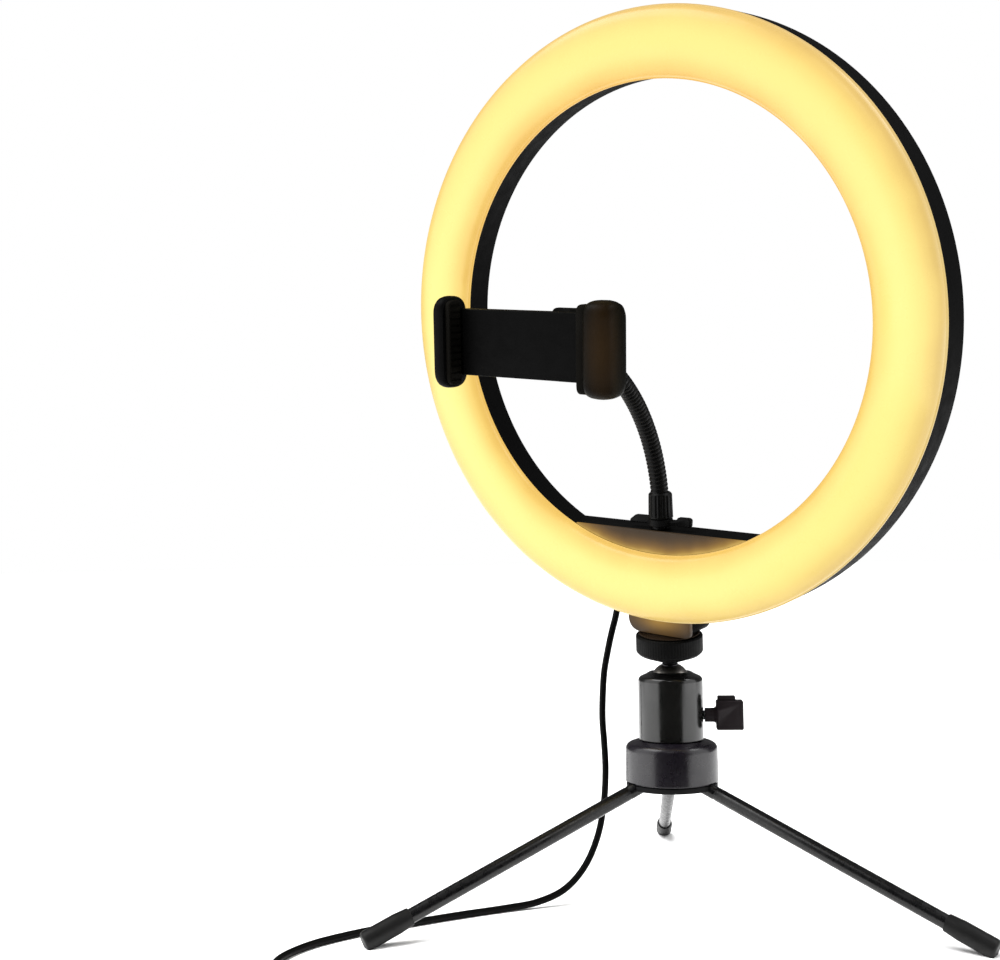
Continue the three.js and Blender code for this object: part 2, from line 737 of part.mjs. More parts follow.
function coil() {
  const half = COIL.turnsAcross * CORD_R;
  const height = COIL.layers * 2 * CORD_R;
  return turnedRingZ([pt(COIL.mean - half, 0.1), pt(COIL.mean + half, 0.1), pt(COIL.mean + half, height),
    pt(COIL.mean - half, height)], 24).translate(...COIL_CENTRE);
}

// The plug lies on the table beside the coil. Its +X points away from the cord. The contact
// tongue is moulded to the plug's body and stands inside the metal shell.
function addPlug(light) {
  const plug = group(light, ...PLUG_START);
  plug.rotation.z = CONTROLLER.angle;
  const body = roundedRect(6.5, 27, -7.5, 7.5, [2, 2, 2, 2]);
  const moulding = new THREE.ExtrudeGeometry(body, { depth: 7.4, bevelEnabled: false, curveSegments: 3 });
  const relief = turned([pt(0, 0), pt(2, 0), pt(2.9, 8), pt(0, 8)], 12);
  relief.rotateZ(-Math.PI / 2).translate(0, 0, 3.8);
  const tongue = block(26.5, 38.6, -5.2, 5.2, 2.35, 3.9);
  add(plug, 'usb_moulding', join(moulding.translate(0, 0, 0.1), relief, tongue), rubber());
  const shell = block(27.3, 39.3, -6, 6, 1.55, 6.05);
  add(plug, 'usb_shell', cut(shell, block(27, 40, -5.6, 5.6, 1.95, 5.65)), steel());
}

function addCord(light) {
  const last = [
    alongController(-GLAND_END - 9, 0, 2.1),
    alongController(-GLAND_END - GAP, 0, 2.6),
  ];
  add(light, 'cord_drop', tube([...DROP_ROUTE, ...last]), rubber());
  addController(light);
  add(light, 'cord_coil', coil(), rubber());
  addPlug(light);
}

// ---------------------------------------------------------------- the whole light
function ringLight() {
  const model = new THREE.Group();
  const light = group(model, CENTRE.x, CENTRE.y, 0);
  addTripod(group(light));
  const tilted = group(light, 0, 0, BALL.z);
  tilted.rotation.set(REST_PITCH, REST_ROLL, 0);
  addBallHead(tilted);
  const ring = group(tilted, 0, -STUD_Y, BALL.toRing);
  addRingHead(ring);
  addPhoneHolder(ring);
  addCord(light);
  return model;
}

export default ringLight();
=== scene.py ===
"""Looks for the desktop ring light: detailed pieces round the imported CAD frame, procedural
materials, the cord, a plain studio and the camera. Lengths are millimetres until a mesh is made."""
import math

import bmesh
import bpy
from mathutils import Matrix, Vector


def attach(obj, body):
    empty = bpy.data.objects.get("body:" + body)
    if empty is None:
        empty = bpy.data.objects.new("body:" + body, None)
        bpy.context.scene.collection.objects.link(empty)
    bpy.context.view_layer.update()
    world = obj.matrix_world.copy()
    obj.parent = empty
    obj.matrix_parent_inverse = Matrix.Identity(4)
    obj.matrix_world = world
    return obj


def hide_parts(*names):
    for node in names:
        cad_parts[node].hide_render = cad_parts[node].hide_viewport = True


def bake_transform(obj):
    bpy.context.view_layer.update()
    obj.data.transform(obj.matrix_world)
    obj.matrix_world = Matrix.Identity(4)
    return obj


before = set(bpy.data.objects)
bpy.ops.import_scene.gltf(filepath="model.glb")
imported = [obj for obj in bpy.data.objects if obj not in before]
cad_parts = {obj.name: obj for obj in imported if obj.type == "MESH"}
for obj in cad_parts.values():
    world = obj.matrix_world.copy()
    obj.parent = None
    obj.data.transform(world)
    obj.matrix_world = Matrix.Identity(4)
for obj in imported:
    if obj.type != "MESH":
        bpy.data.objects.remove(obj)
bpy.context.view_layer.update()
MM = 0.001

# ------------------------------------------------------------------ frames of the assembly
DEG = math.radians(1)
CENTRE = Vector((-16.7, 5.5, 0))      # the tripod's axis in the row frame
BALL_Z = 96
STUD_Y = 8.5
BALL_TO_RING = 160
PITCH, ROLL = 10 * DEG, 6 * DEG


def shift(x, y, z):
    return Matrix.Translation(Vector((x, y, z)) * MM)


def turn(axis, angle):
    return Matrix.Rotation(angle, 4, axis)


TRIPOD = shift(*CENTRE)
TILTED = TRIPOD @ shift(0, 0, BALL_Z) @ turn("X", PITCH) @ turn("Y", ROLL)
RING = TILTED @ shift(0, -STUD_Y, BALL_TO_RING)


# ------------------------------------------------------------------ camera
def make_camera():
    """The photograph's view: from the front right, a little below the ring, looking slightly up."""
    azimuth, pitch, roll = 0.6563, -0.0731, -0.0113
    ahead = Vector((-math.sin(azimuth) * math.cos(pitch), math.cos(azimuth) * math.cos(pitch),
                    -math.sin(pitch)))
    level = Vector((math.cos(azimuth), math.sin(azimuth), 0))
    upright = level.cross(ahead)
    right = level * math.cos(roll) + upright * math.sin(roll)
    up = upright * math.cos(roll) - level * math.sin(roll)
    data = bpy.data.cameras.new("camera")
    data.lens = 49.84
    data.sensor_width = 36
    data.shift_x = -0.0552
    data.shift_y = -0.0505
    data.clip_start = 0.01
    data.clip_end = 100
    camera = bpy.data.objects.new("camera", data)
    bpy.context.scene.collection.objects.link(camera)
    place = Matrix((right, up, -ahead)).transposed().to_4x4()
    place.translation = (CENTRE + Vector((339.03, -521.78, 163.51))) * MM
    camera.matrix_world = place
    bpy.context.scene.camera = camera


make_camera()


# ------------------------------------------------------------------ mesh helpers
def link(name, mesh, where):
    obj = bpy.data.objects.new(name, mesh)
    bpy.context.scene.collection.objects.link(obj)
    obj.matrix_world = where
    return obj


def mesh_object(name, verts, faces, where):
    """A mesh from points in millimetres of the frame called where, with its faces outwards."""
    mesh = bpy.data.meshes.new(name)
    mesh.from_pydata([Vector(v) * MM for v in verts], [], faces)
    bm = bmesh.new()
    bm.from_mesh(mesh)
    bmesh.ops.recalc_face_normals(bm, faces=bm.faces)
    bm.to_mesh(mesh)
    bm.free()
    return link(name, mesh, where)


def rounded(points, radii, steps=4, closed=False):
    """An outline with its corners replaced by arcs. radii is one radius, or one for each corner."""
    if not isinstance(radii, (list, tuple)):
        radii = [radii] * len(points)
    out = []
    for i, (x, y) in enumerate(points):
        end = not closed and i in (0, len(points) - 1)
        if end or radii[i] <= 0:
            out.append((x, y))
            continue
        p = Vector((x, y))
        before = Vector(points[i - 1]) - p
        after = Vector(points[(i + 1) % len(points)]) - p
        if before.length < 1e-6 or after.length < 1e-6:
            out.append((x, y))
            continue
        angle = before.angle(after)
        reach = min(radii[i] / max(math.tan(angle / 2), 1e-3), 0.48 * before.length, 0.48 * after.length)
        a, b = p + before.normalized() * reach, p + after.normalized() * reach
        for k in range(steps + 1):
            t = k / steps
            q = a * (1 - t) ** 2 + p * 2 * t * (1 - t) + b * t ** 2
            out.append((q.x, q.y))
    return out


AXES = {
    "X": lambda r, h, a: (h, r * math.cos(a), r * math.sin(a)),
    "Y": lambda r, h, a: (r * math.cos(a), h, r * math.sin(a)),
    "Z": lambda r, h, a: (r * math.cos(a), r * math.sin(a), h),
}


def lathe(name, profile, where, sides=96, axis="Z", closed=False, wave=None):
    """A turned piece from (radius, height) pairs. wave(angle, radius, height) gives another radius."""
    put = AXES[axis]
    verts, faces, rings = [], [], []
    for r, h in profile:
        if r < 1e-6:
            rings.append([len(verts)])
            verts.append(put(0, h, 0))
            continue
        rings.append(list(range(len(verts), len(verts) + sides)))
        for i in range(sides):
            a = 2 * math.pi * i / sides
            verts.append(put(wave(a, r, h) if wave else r, h, a))
    pairs = list(zip(rings, rings[1:])) + ([(rings[-1], rings[0])] if closed else [])
    for low, high in pairs:
        for i in range(sides):
            j = (i + 1) % sides
            face = [low[i % len(low)], low[j % len(low)], high[j % len(high)], high[i % len(high)]]
            face = list(dict.fromkeys(face))
            if len(face) > 2:
                faces.append(face)
    return mesh_object(name, verts, faces, where)


PLANES = {
    "XZ": lambda u, v, w: (u, w, v),
    "YZ": lambda u, v, w: (w, u, v),
    "XY": lambda u, v, w: (u, v, w),
}


def loft(name, layers, where, plane="XY"):
    """A closed solid through outlines of equal length: layers is [(outline, height), ...]."""
    put = PLANES[plane]
    n = len(layers[0][0])
    verts = [put(u, v, w) for outline, w in layers for u, v in outline]
    faces = [list(range(n)), list(range(n * (len(layers) - 1), n * len(layers)))]
    for k in range(len(layers) - 1):
        for i in range(n):
            j = (i + 1) % n
            faces.append([k * n + i, k * n + j, (k + 1) * n + j, (k + 1) * n + i])
    return mesh_object(name, verts, faces, where)


def box_outline(x0, x1, y0, y1, radii=0, steps=4):
    return rounded([(x0, y0), (x1, y0), (x1, y1), (x0, y1)], radii, steps, closed=True)


def prism(name, outline, low, high, where, plane="XY"):
    return loft(name, [(outline, low), (outline, high)], where, plane)


def block(name, x, y, z, where):
    return prism(name, box_outline(x[0], x[1], y[0], y[1]), z[0], z[1], where)


def soften(obj, width, segments=3, angle=35):
    """Rounds the sharp edges of a solid."""
    bevel = obj.modifiers.new("round", "BEVEL")
    bevel.width = width * MM
    bevel.segments = segments
    bevel.limit_method = "ANGLE"
    bevel.angle_limit = angle * DEG
    bevel.harden_normals = True
    return obj


def settled(obj):
    """The object with its modifiers applied."""
    bpy.context.view_layer.update()
    graph = bpy.context.evaluated_depsgraph_get()
    mesh = bpy.data.meshes.new_from_object(obj.evaluated_get(graph))
    obj.modifiers.clear()
    obj.data = mesh
    return obj


def combine(obj, others, how="DIFFERENCE"):
    """Cuts other solids from this one, or joins them to it, and removes them."""
    for other in others:
        step = obj.modifiers.new(how, "BOOLEAN")
        step.operation = how
        step.solver = "EXACT"
        step.object = other
    settled(obj)
    for other in others:
        bpy.data.objects.remove(other)
    return obj


def merge(obj, others):
    """One object made of several loose solids, in the frame of the first."""
    bm = bmesh.new()
    bm.from_mesh(obj.data)
    for part in others:
        part.data.transform(obj.matrix_world.inverted() @ part.matrix_world)
        bm.from_mesh(part.data)
    bm.to_mesh(obj.data)
    bm.free()
    for other in others:
        bpy.data.objects.remove(other)
    return obj


def sweep(name, line, radius, where=Matrix.Identity(4), sides=16, wave=None):
    """A round tube along a line. wave(distance, angle) is added to the radius. Ends are closed."""
    points = [Vector(p) for p in line]
    tangents = []
    for i in range(len(points)):
        a, b = points[max(i - 1, 0)], points[min(i + 1, len(points) - 1)]
        tangents.append((b - a).normalized())
    side = tangents[0].orthogonal().normalized()
    verts, faces, run = [], [], 0.0
    for i, (p, t) in enumerate(zip(points, tangents)):
        side = (side - t * side.dot(t)).normalized()
        other = t.cross(side)
        run += (p - points[i - 1]).length if i else 0
        for k in range(sides):
            a = 2 * math.pi * k / sides
            r = radius(run) if callable(radius) else radius
            r += wave(run, a) if wave else 0
            verts.append(p + (side * math.cos(a) + other * math.sin(a)) * r)
    for i in range(len(points) - 1):
        for k in range(sides):
            j = (k + 1) % sides
            faces.append([i * sides + k, i * sides + j, (i + 1) * sides + j, (i + 1) * sides + k])
    faces += [list(range(sides)), list(range(len(verts) - sides, len(verts)))]
    return mesh_object(name, verts, faces, where)


def curve_points(control, step):
    """A smooth line through points (centripetal Catmull-Rom), with points about step apart."""
    control = [Vector(p) for p in control]
    ends = [control[0] * 2 - control[1], *control, control[-1] * 2 - control[-2]]
    dense = []
    for a, b, c, d in zip(ends, ends[1:], ends[2:], ends[3:]):
        ta = 0.0
        tb = ta + math.sqrt((b - a).length)
        tc = tb + math.sqrt((c - b).length)
        td = tc + math.sqrt((d - c).length)
        for k in range(12):
            t = tb + (tc - tb) * k / 12
            ab = a * (tb - t) / (tb - ta) + b * (t - ta) / (tb - ta)
            bc = b * (tc - t) / (tc - tb) + c * (t - tb) / (tc - tb)
            cd = c * (td - t) / (td - tc) + d * (t - tc) / (td - tc)
            abc = ab * (tc - t) / (tc - ta) + bc * (t - ta) / (tc - ta)
            bcd = bc * (td - t) / (td - tb) + cd * (t - tb) / (td - tb)
            dense.append(abc * (tc - t) / (tc - tb) + bcd * (t - tb) / (tc - tb))
    dense.append(control[-1])
    return evenly(dense, step)


def evenly(line, step):
    """The same line with its points about step apart."""
    line = [Vector(p) for p in line]
    along = [0.0]
    for a, b in zip(line, line[1:]):
        along.append(along[-1] + (b - a).length)
    count = max(2, math.ceil(along[-1] / step))
    out, i = [], 0
    for k in range(count + 1):
        at = along[-1] * k / count
        while i < len(line) - 2 and along[i + 1] < at:
            i += 1
        span = max(along[i + 1] - along[i], 1e-9)
        out.append(line[i].lerp(line[i + 1], (at - along[i]) / span))
    return out


def dress(obj, finish, sharp=35):
    """Smooth shading with sharp edges where faces meet at an angle, and a material."""
    for polygon in obj.data.polygons:
        polygon.use_smooth = True
    obj.data.set_sharp_from_angle(angle=sharp * DEG)
    obj.data.materials.clear()
    obj.data.materials.append(finish)
    return obj


def stand_in(obj, body, finish, slot, *nodes, sharp=35):
    """A finished piece that rides on a body and replaces CAD nodes."""
    dress(obj, finish, sharp)
    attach(obj, body)
    if nodes:
        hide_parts(*nodes)
    return obj


# ------------------------------------------------------------------ materials
def srgb(r, g, b):
    def linear(c):
        c /= 255
        return c / 12.92 if c <= 0.04045 else ((c + 0.055) / 1.055) ** 2.4
    return (linear(r), linear(g), linear(b), 1)


def add_node(tree, kind, **values):
    node = tree.nodes.new(kind)
    for key, value in values.items():
        if hasattr(node, key):
            setattr(node, key, value)
        else:
            node.inputs[key.replace("_", " ")].default_value = value
    return node


def noise(tree, place, scale, detail=3.0, roughness=0.55):
    node = add_node(tree, "ShaderNodeTexNoise")
    node.inputs["Scale"].default_value = scale
    node.inputs["Detail"].default_value = detail
    node.inputs["Roughness"].default_value = roughness
    tree.links.new(place, node.inputs["Vector"])
    return node.outputs["Fac"]


def spread(tree, value, low, high, from_low=0.3, from_high=0.7):
    node = add_node(tree, "ShaderNodeMapRange")
    for key, number in (("From Min", from_low), ("From Max", from_high), ("To Min", low), ("To Max", high)):
        node.inputs[key].default_value = number
    tree.links.new(value, node.inputs["Value"])
    return node.outputs["Result"]


def finish(name, colour, rough, metal=0.0, mottle=0.25, patch=60, grain=1800, depth=0.02, dust=0.0,
           rough_change=0.08, specular=0.5, streaks=None, coat=0.0):
    """A moulded, painted or plated surface: broad colour change, fine texture, uneven gloss.

    patch and grain are the sizes of the two noises (larger is finer), depth is the bump's height in
    millimetres, dust lightens spots, and streaks squeezes the fine noise along an axis."""
    made = bpy.data.materials.new(name)
    made.use_nodes = True
    tree = made.node_tree
    shader = tree.nodes["Principled BSDF"]
    shader.inputs["Metallic"].default_value = metal
    shader.inputs["Specular IOR Level"].default_value = specular
    shader.inputs["Coat Weight"].default_value = coat
    shader.inputs["Coat Roughness"].default_value = 0.08
    place = add_node(tree, "ShaderNodeTexCoord").outputs["Object"]
    fine_place = place
    if streaks:
        squeeze = add_node(tree, "ShaderNodeVectorMath", operation="MULTIPLY")
        squeeze.inputs[1].default_value = streaks
        tree.links.new(place, squeeze.inputs[0])
        fine_place = squeeze.outputs["Vector"]
    broad = noise(tree, place, patch)
    fine = noise(tree, fine_place, grain, detail=2.0)
    tint = add_node(tree, "ShaderNodeMix", data_type="RGBA")
    darker = [c * (1 - mottle) for c in colour[:3]] + [1]
    lighter = [min(1, c * (1 + mottle) + dust) for c in colour[:3]] + [1]
    tint.inputs[6].default_value = darker
    tint.inputs[7].default_value = lighter
    both = add_node(tree, "ShaderNodeMath", operation="MULTIPLY_ADD")
    both.inputs[1].default_value = 0.7
    tree.links.new(broad, both.inputs[0])
    tree.links.new(spread(tree, fine, 0, 0.3), both.inputs[2])
    tree.links.new(both.outputs[0], tint.inputs[0])
    tree.links.new(tint.outputs[2], shader.inputs["Base Color"])
    gloss = noise(tree, place, patch * 3)
    tree.links.new(spread(tree, gloss, max(0.02, rough - rough_change), min(1, rough + rough_change)),
                   shader.inputs["Roughness"])
    bump = add_node(tree, "ShaderNodeBump")
    bump.inputs["Strength"].default_value = 1.0
    bump.inputs["Distance"].default_value = depth * MM
    tree.links.new(fine, bump.inputs["Height"])
    tree.links.new(bump.outputs["Normal"], shader.inputs["Normal"])
    return made


def glow_ramp(tree, value, stops):
    node = add_node(tree, "ShaderNodeValToRGB")
    ramp = node.color_ramp
    ramp.interpolation = "B_SPLINE"
    while len(ramp.elements) < len(stops):
        ramp.elements.new(0.5)
    for element, (at, colour) in zip(ramp.elements, stops):
        element.position = at
        element.color = colour
    tree.links.new(value, node.inputs["Fac"])
    return node.outputs["Color"]


def diffuser_finish():
    """Opal plastic lit from inside: brightest over the lamps, dimmer and more orange at both rims."""
    made = bpy.data.materials.new("opal_diffuser")
    made.use_nodes = True
    tree = made.node_tree
    shader = tree.nodes["Principled BSDF"]
    shader.inputs["Base Color"].default_value = srgb(90, 76, 36)
    shader.inputs["Specular IOR Level"].default_value = 0.25
    shader.inputs["Emission Strength"].default_value = 0.92
    place = add_node(tree, "ShaderNodeTexCoord").outputs["Object"]
    parts = add_node(tree, "ShaderNodeSeparateXYZ")
    tree.links.new(place, parts.inputs[0])
    flat = add_node(tree, "ShaderNodeCombineXYZ")
    tree.links.new(parts.outputs["X"], flat.inputs["X"])
    tree.links.new(parts.outputs["Z"], flat.inputs["Z"])
    radius = add_node(tree, "ShaderNodeVectorMath", operation="LENGTH")
    tree.links.new(flat.outputs[0], radius.inputs[0])
    across = spread(tree, radius.outputs["Value"], 0, 1, 100.4 * MM, 130 * MM)
    blotch = spread(tree, noise(tree, place, 38, 2.5), -0.03, 0.03)
    moved = add_node(tree, "ShaderNodeMath", operation="ADD")
    tree.links.new(across, moved.inputs[0])
    tree.links.new(blotch, moved.inputs[1])
    body = glow_ramp(tree, moved.outputs[0], [
        (0.0, srgb(222, 176, 84)), (0.10, srgb(242, 206, 116)), (0.30, srgb(252, 237, 140)),
        (0.55, srgb(254, 243, 148)), (0.76, srgb(249, 226, 134)), (0.90, srgb(230, 199, 118)),
        (0.97, srgb(212, 182, 112)), (1.0, srgb(216, 192, 132))])
    low = add_node(tree, "ShaderNodeMix", data_type="RGBA", blend_type="MULTIPLY")
    height = spread(tree, parts.outputs["Z"], 0, 1, -120 * MM, 125 * MM)
    shade = glow_ramp(tree, height,
                      [(0.0, (1.0, 1.16, 1.26, 1)), (0.5, (1, 1, 1, 1)), (1.0, (0.99, 0.90, 0.86, 1))])
    low.inputs[0].default_value = 1.0
    tree.links.new(body, low.inputs[6])
    tree.links.new(shade, low.inputs[7])
    tree.links.new(low.outputs[2], shader.inputs["Emission Color"])
    tree.links.new(spread(tree, noise(tree, place, 90), 0.22, 0.34), shader.inputs["Roughness"])
    bump = add_node(tree, "ShaderNodeBump")
    bump.inputs["Distance"].default_value = 0.02 * MM
    tree.links.new(noise(tree, place, 900, 2), bump.inputs["Height"])
    tree.links.new(bump.outputs["Normal"], shader.inputs["Normal"])
    return made


def field(tree, centre, size):
    """Distance from a point, in units of size along each axis; both in millimetres of the object."""
    place = add_node(tree, "ShaderNodeTexCoord").outputs["Object"]
    moved = add_node(tree, "ShaderNodeVectorMath", operation="SUBTRACT")
    moved.inputs[1].default_value = [c * MM for c in centre]
    scaled = add_node(tree, "ShaderNodeVectorMath", operation="DIVIDE")
    scaled.inputs[1].default_value = [c * MM for c in size]
    far = add_node(tree, "ShaderNodeVectorMath", operation="LENGTH")
    tree.links.new(place, moved.inputs[0])
    tree.links.new(moved.outputs[0], scaled.inputs[0])
    tree.links.new(scaled.outputs[0], far.inputs[0])
    return far.outputs["Value"]


def painted_glow_finish(name, centre, size, start, end, stops, uneven=0.06):
    """Black plastic beside the diffuser with a painted glow: an emission that stands in for the lamps'
    light leaking through it.

    The glow follows the distance from a point, measured in units of size, from start to end."""
    made = finish(name, srgb(12, 11, 10), 0.42, mottle=0.15, depth=0.01, specular=0.12)
    tree = made.node_tree
    shader = tree.nodes["Principled BSDF"]
    place = add_node(tree, "ShaderNodeTexCoord").outputs["Object"]
    fall = spread(tree, field(tree, centre, size), 0, 1, start, end)
    moved = add_node(tree, "ShaderNodeMath", operation="ADD")
    tree.links.new(fall, moved.inputs[0])
    tree.links.new(spread(tree, noise(tree, place, 70, 2), -uneven, uneven), moved.inputs[1])
    tree.links.new(glow_ramp(tree, moved.outputs[0], stops), shader.inputs["Emission Color"])
    shader.inputs["Emission Strength"].default_value = 1.0
    return made


def tray_painted_back_finish():
    """Black plastic, dull at its sides, with its base colour painted lighter towards its back: painted
    light that lets the back's shapes show.
    """
    made = finish("tray_abs_painted_back", srgb(8, 8, 8), 0.55, mottle=0.3, depth=0.012, specular=0.012)
    tree = made.node_tree
    base = tree.nodes["Principled BSDF"].inputs["Base Color"]
    parts = add_node(tree, "ShaderNodeSeparateXYZ")
    tree.links.new(add_node(tree, "ShaderNodeTexCoord").outputs["Object"], parts.inputs[0])
    # Painted light: the base colour is scaled from 1 at the sides up to 6 at the back.
    lighter = add_node(tree, "ShaderNodeVectorMath", operation="SCALE")
    tree.links.new(base.links[0].from_socket, lighter.inputs[0])
    tree.links.new(spread(tree, parts.outputs["Y"], 1, 6, 15.5 * MM, 17.4 * MM), lighter.inputs["Scale"])
    tree.links.new(lighter.outputs["Vector"], base)
    return made


def jaw_painted_sheen_finish():
    """Black plastic with a painted warm sheen on the face beside the lamp, standing in for the lamp's
    light, fading to black towards its back.
    """
    made = finish("jaw_abs_painted_sheen", srgb(30, 20, 9), 0.42, mottle=0.2, depth=0.01, specular=0.03)
    tree = made.node_tree
    shader = tree.nodes["Principled BSDF"]
    # Painted sheen: the warm colour falls off with distance from a point at the jaw's outer front corner.
    fall = field(tree, (38, -91, 0), (9, 9, 26))
    colour = glow_ramp(tree, spread(tree, fall, 0, 1, 0.1, 1.2),
                       [(0.0, srgb(33, 22, 8)), (0.4, srgb(23, 15, 6)), (0.7, srgb(9, 7, 4)),
                        (1.0, srgb(4, 4, 3))])
    tree.links.new(colour, shader.inputs["Base Color"])
    return made


BLACK_PLASTIC = finish("satin_black_abs", srgb(9, 9, 9), 0.45, mottle=0.3, depth=0.012, specular=0.05)
CLAMP_PLASTIC = finish("clamp_abs", srgb(4, 4, 4), 0.5, mottle=0.3, depth=0.012, specular=0.025)
KNOB_PLASTIC = finish("knob_abs", srgb(25, 20, 22), 0.5, mottle=0.25, depth=0.015, specular=0.14)
INNER_PLASTIC = finish("inner_abs", srgb(14, 14, 15), 0.6, specular=0.12)
HEAD_LACQUER = finish("gloss_lacquer", srgb(15, 15, 14), 0.2, mottle=0.15, grain=700, depth=0.004,
                      rough_change=0.05, specular=0.5, streaks=(0.05, 0.05, 1.0))
HUB_LACQUER = finish("hub_lacquer", srgb(16, 13, 19), 0.28, mottle=0.15, grain=420, depth=0.012,
                     rough_change=0.05, specular=0.52, streaks=(0.04, 0.04, 1.0))
BALL_PLATE = finish("black_nickel", srgb(160, 156, 150), 0.34, metal=1.0, mottle=0.1, depth=0.002,
                    rough_change=0.04)
LEG_LACQUER = finish("leg_lacquer", srgb(9, 9, 10), 0.28, mottle=0.2, patch=120, depth=0.006,
                     rough_change=0.08, specular=0.36)
FOOT_RUBBER = finish("foot_rubber", srgb(14, 14, 14), 0.5, mottle=0.3, depth=0.03, specular=0.2)
NECK_METAL = finish("neck_enamel", srgb(6, 6, 6), 0.36, mottle=0.3, depth=0.01, specular=0.08)
PAD_RUBBER = finish("pad_rubber", srgb(9, 8, 6), 0.75, mottle=0.3, depth=0.04, specular=0.03)
WHEEL_RUBBER = finish("wheel_pad_rubber", srgb(31, 21, 12), 0.7, mottle=0.3, depth=0.04, specular=0.1)
CORD_RUBBER = finish("cord_pvc", srgb(6, 6, 6), 0.45, mottle=0.25, patch=200, grain=2500, depth=0.01,
                     specular=0.06)
STEEL = finish("zinc_steel", srgb(168, 170, 172), 0.3, metal=1.0, mottle=0.12, depth=0.004)
BLACK_OXIDE = finish("black_oxide", srgb(34, 34, 36), 0.35, metal=0.8, mottle=0.2, depth=0.006)
BRASS = finish("brass", srgb(196, 158, 84), 0.3, metal=1.0, mottle=0.12, depth=0.004)
PLUG_METAL = finish("nickel_plug", srgb(190, 190, 188), 0.22, metal=1.0, mottle=0.08, depth=0.003)
BOARD = finish("white_board", srgb(214, 214, 206), 0.6, mottle=0.08)
BUTTON_RUBBER = finish("button_rubber", srgb(40, 40, 42), 0.7, mottle=0.2, depth=0.02, specular=0.2)
OPAL = diffuser_finish()
TRAY_PAINTED_BACK = tray_painted_back_finish()
JAW_PAINTED_SHEEN = jaw_painted_sheen_finish()
# Painted glow: the driver and foot covers are not lamps, yet they emit a warm light that stands in for the
# lamps' light.
COVER_GLOW = painted_glow_finish("driver_front_painted_glow", (0, 0, 0), (100.4, 300, 100.4), 1.0, 0.9, [
    (0.0, srgb(206, 170, 88)), (0.12, srgb(160, 122, 54)), (0.32, srgb(118, 88, 46)),
    (0.6, srgb(76, 58, 38)),
    (1.0, srgb(54, 44, 34))])
FOOT_GLOW = painted_glow_finish("foot_front_painted_glow", (0, 0, -129.6), (17, 300, 7.0), 0.0, 1.2, [
    (0.0, srgb(168, 128, 52)), (0.3, srgb(138, 104, 46)), (0.6, srgb(96, 72, 40)), (1.0, srgb(40, 32, 28))])


# ------------------------------------------------------------------ ring head
INNER, OUTER = 100.4, 130
MIDDLE = (INNER + OUTER) / 2


def diffuser():
    """A hollow opal ring: a domed front between two small rim lips, 1.8 thick."""
    half = (OUTER - INNER) / 2 - 0.5
    front, back = [], []
    for k in range(33):
        a = math.pi * k / 32
        reach, rise = math.cos(a), math.sin(a) ** 0.9
        front.append((MIDDLE - half * reach, -0.35 - 6.15 * rise))
        back.append((MIDDLE - (half - 1.6) * reach, 0.25 - 4.9 * rise))
    profile = [(INNER, 0.25), (INNER, -0.3), *front, (OUTER, -0.3), (OUTER, 0.25), *reversed(back)]
    ring = lathe("opal_ring", profile, RING, 192, "Y", closed=True)
    stand_in(ring, "ring_head", OPAL, "diffuser", "diffuser", sharp=50)


def arc_below(radius, height, count=40):
    """Points of a circle's lowest arc, from right to left, under a level line at a height."""
    half = math.acos(-height / radius)
    out = []
    for k in range(count + 1):
        a = half - 2 * half * k / count
        out.append((radius * math.sin(a), -radius * math.cos(a)))
    return out


def tray():
    """The black back half of the ring: a straight side, a rounded shoulder and a flat back."""
    outside = rounded([(OUTER, 0.3), (OUTER, 16), (128, 18), (124.4, 18), (124.0, 17.6), (123.0, 17.6),
                       (122.6, 18), (109.9, 18), (109.5, 17.6), (108.6, 17.6), (108.2, 18), (105.1, 18),
                       (102.6, 15.8), (INNER, 0.3)],
                      [0, 2, 2, .3, .2, .2, .3, .3, .2, .2, .3, 2.5, 2.5, 0])
    inside = rounded([(102.4, 0.3), (103.6, 9), (104.5, 14.5), (106, 16), (126.6, 16), (128, 14.5),
                      (128, 0.3)], 1.0)
    body = lathe("tray_shell", outside + inside, RING, 192, "Y", closed=True)
    layers = []
    for y, r, drop in ((2.3, 101.2, 0), (9, 102.6, 0), (13, 103.8, 0), (16.4, 105, 0), (17.3, 105.4, 0.35),
                       (17.8, 105.6, 1.0)):
        layers.append((arc_below(r, -90.5 - drop), y))
    driver = loft("driver_housing_shell", layers, RING, "XZ")
    fluted = []
    for x in range(-20, 21, 4):
        slot = box_outline(x - 0.9, x + 0.9, -99.5, -94.5, 0.85, 3)
        fluted.append(prism(f"vent_cut_{x + 20}", slot, 17.1, 19, RING, "XZ"))
    combine(driver, fluted)
    foot = prism("foot_shell", rounded([(-16, -120), (-16, -136.3), (15.5, -136.3), (15.5, -120)],
                                       [0, 7, 6, 0], 8, closed=True), 3.3, 18.8, RING, "XZ")
    soften(foot, 0.8)
    settled(foot)
    hub = lathe("foot_cut", [(0, -5), (129.4, -5), (129.4, 25), (0, 25)], RING, 192, "Y")
    socket = lathe("insert_cut", [(0, -5.8), (4.7, -5.8), (4.7, 5.8), (0, 5.8)],
                   RING @ shift(0, 8.5, -133.6), 48)
    combine(foot, [hub, socket])
    merge(body, [driver, foot])
    stand_in(body, "ring_head", TRAY_PAINTED_BACK, "housing", "rear_housing")


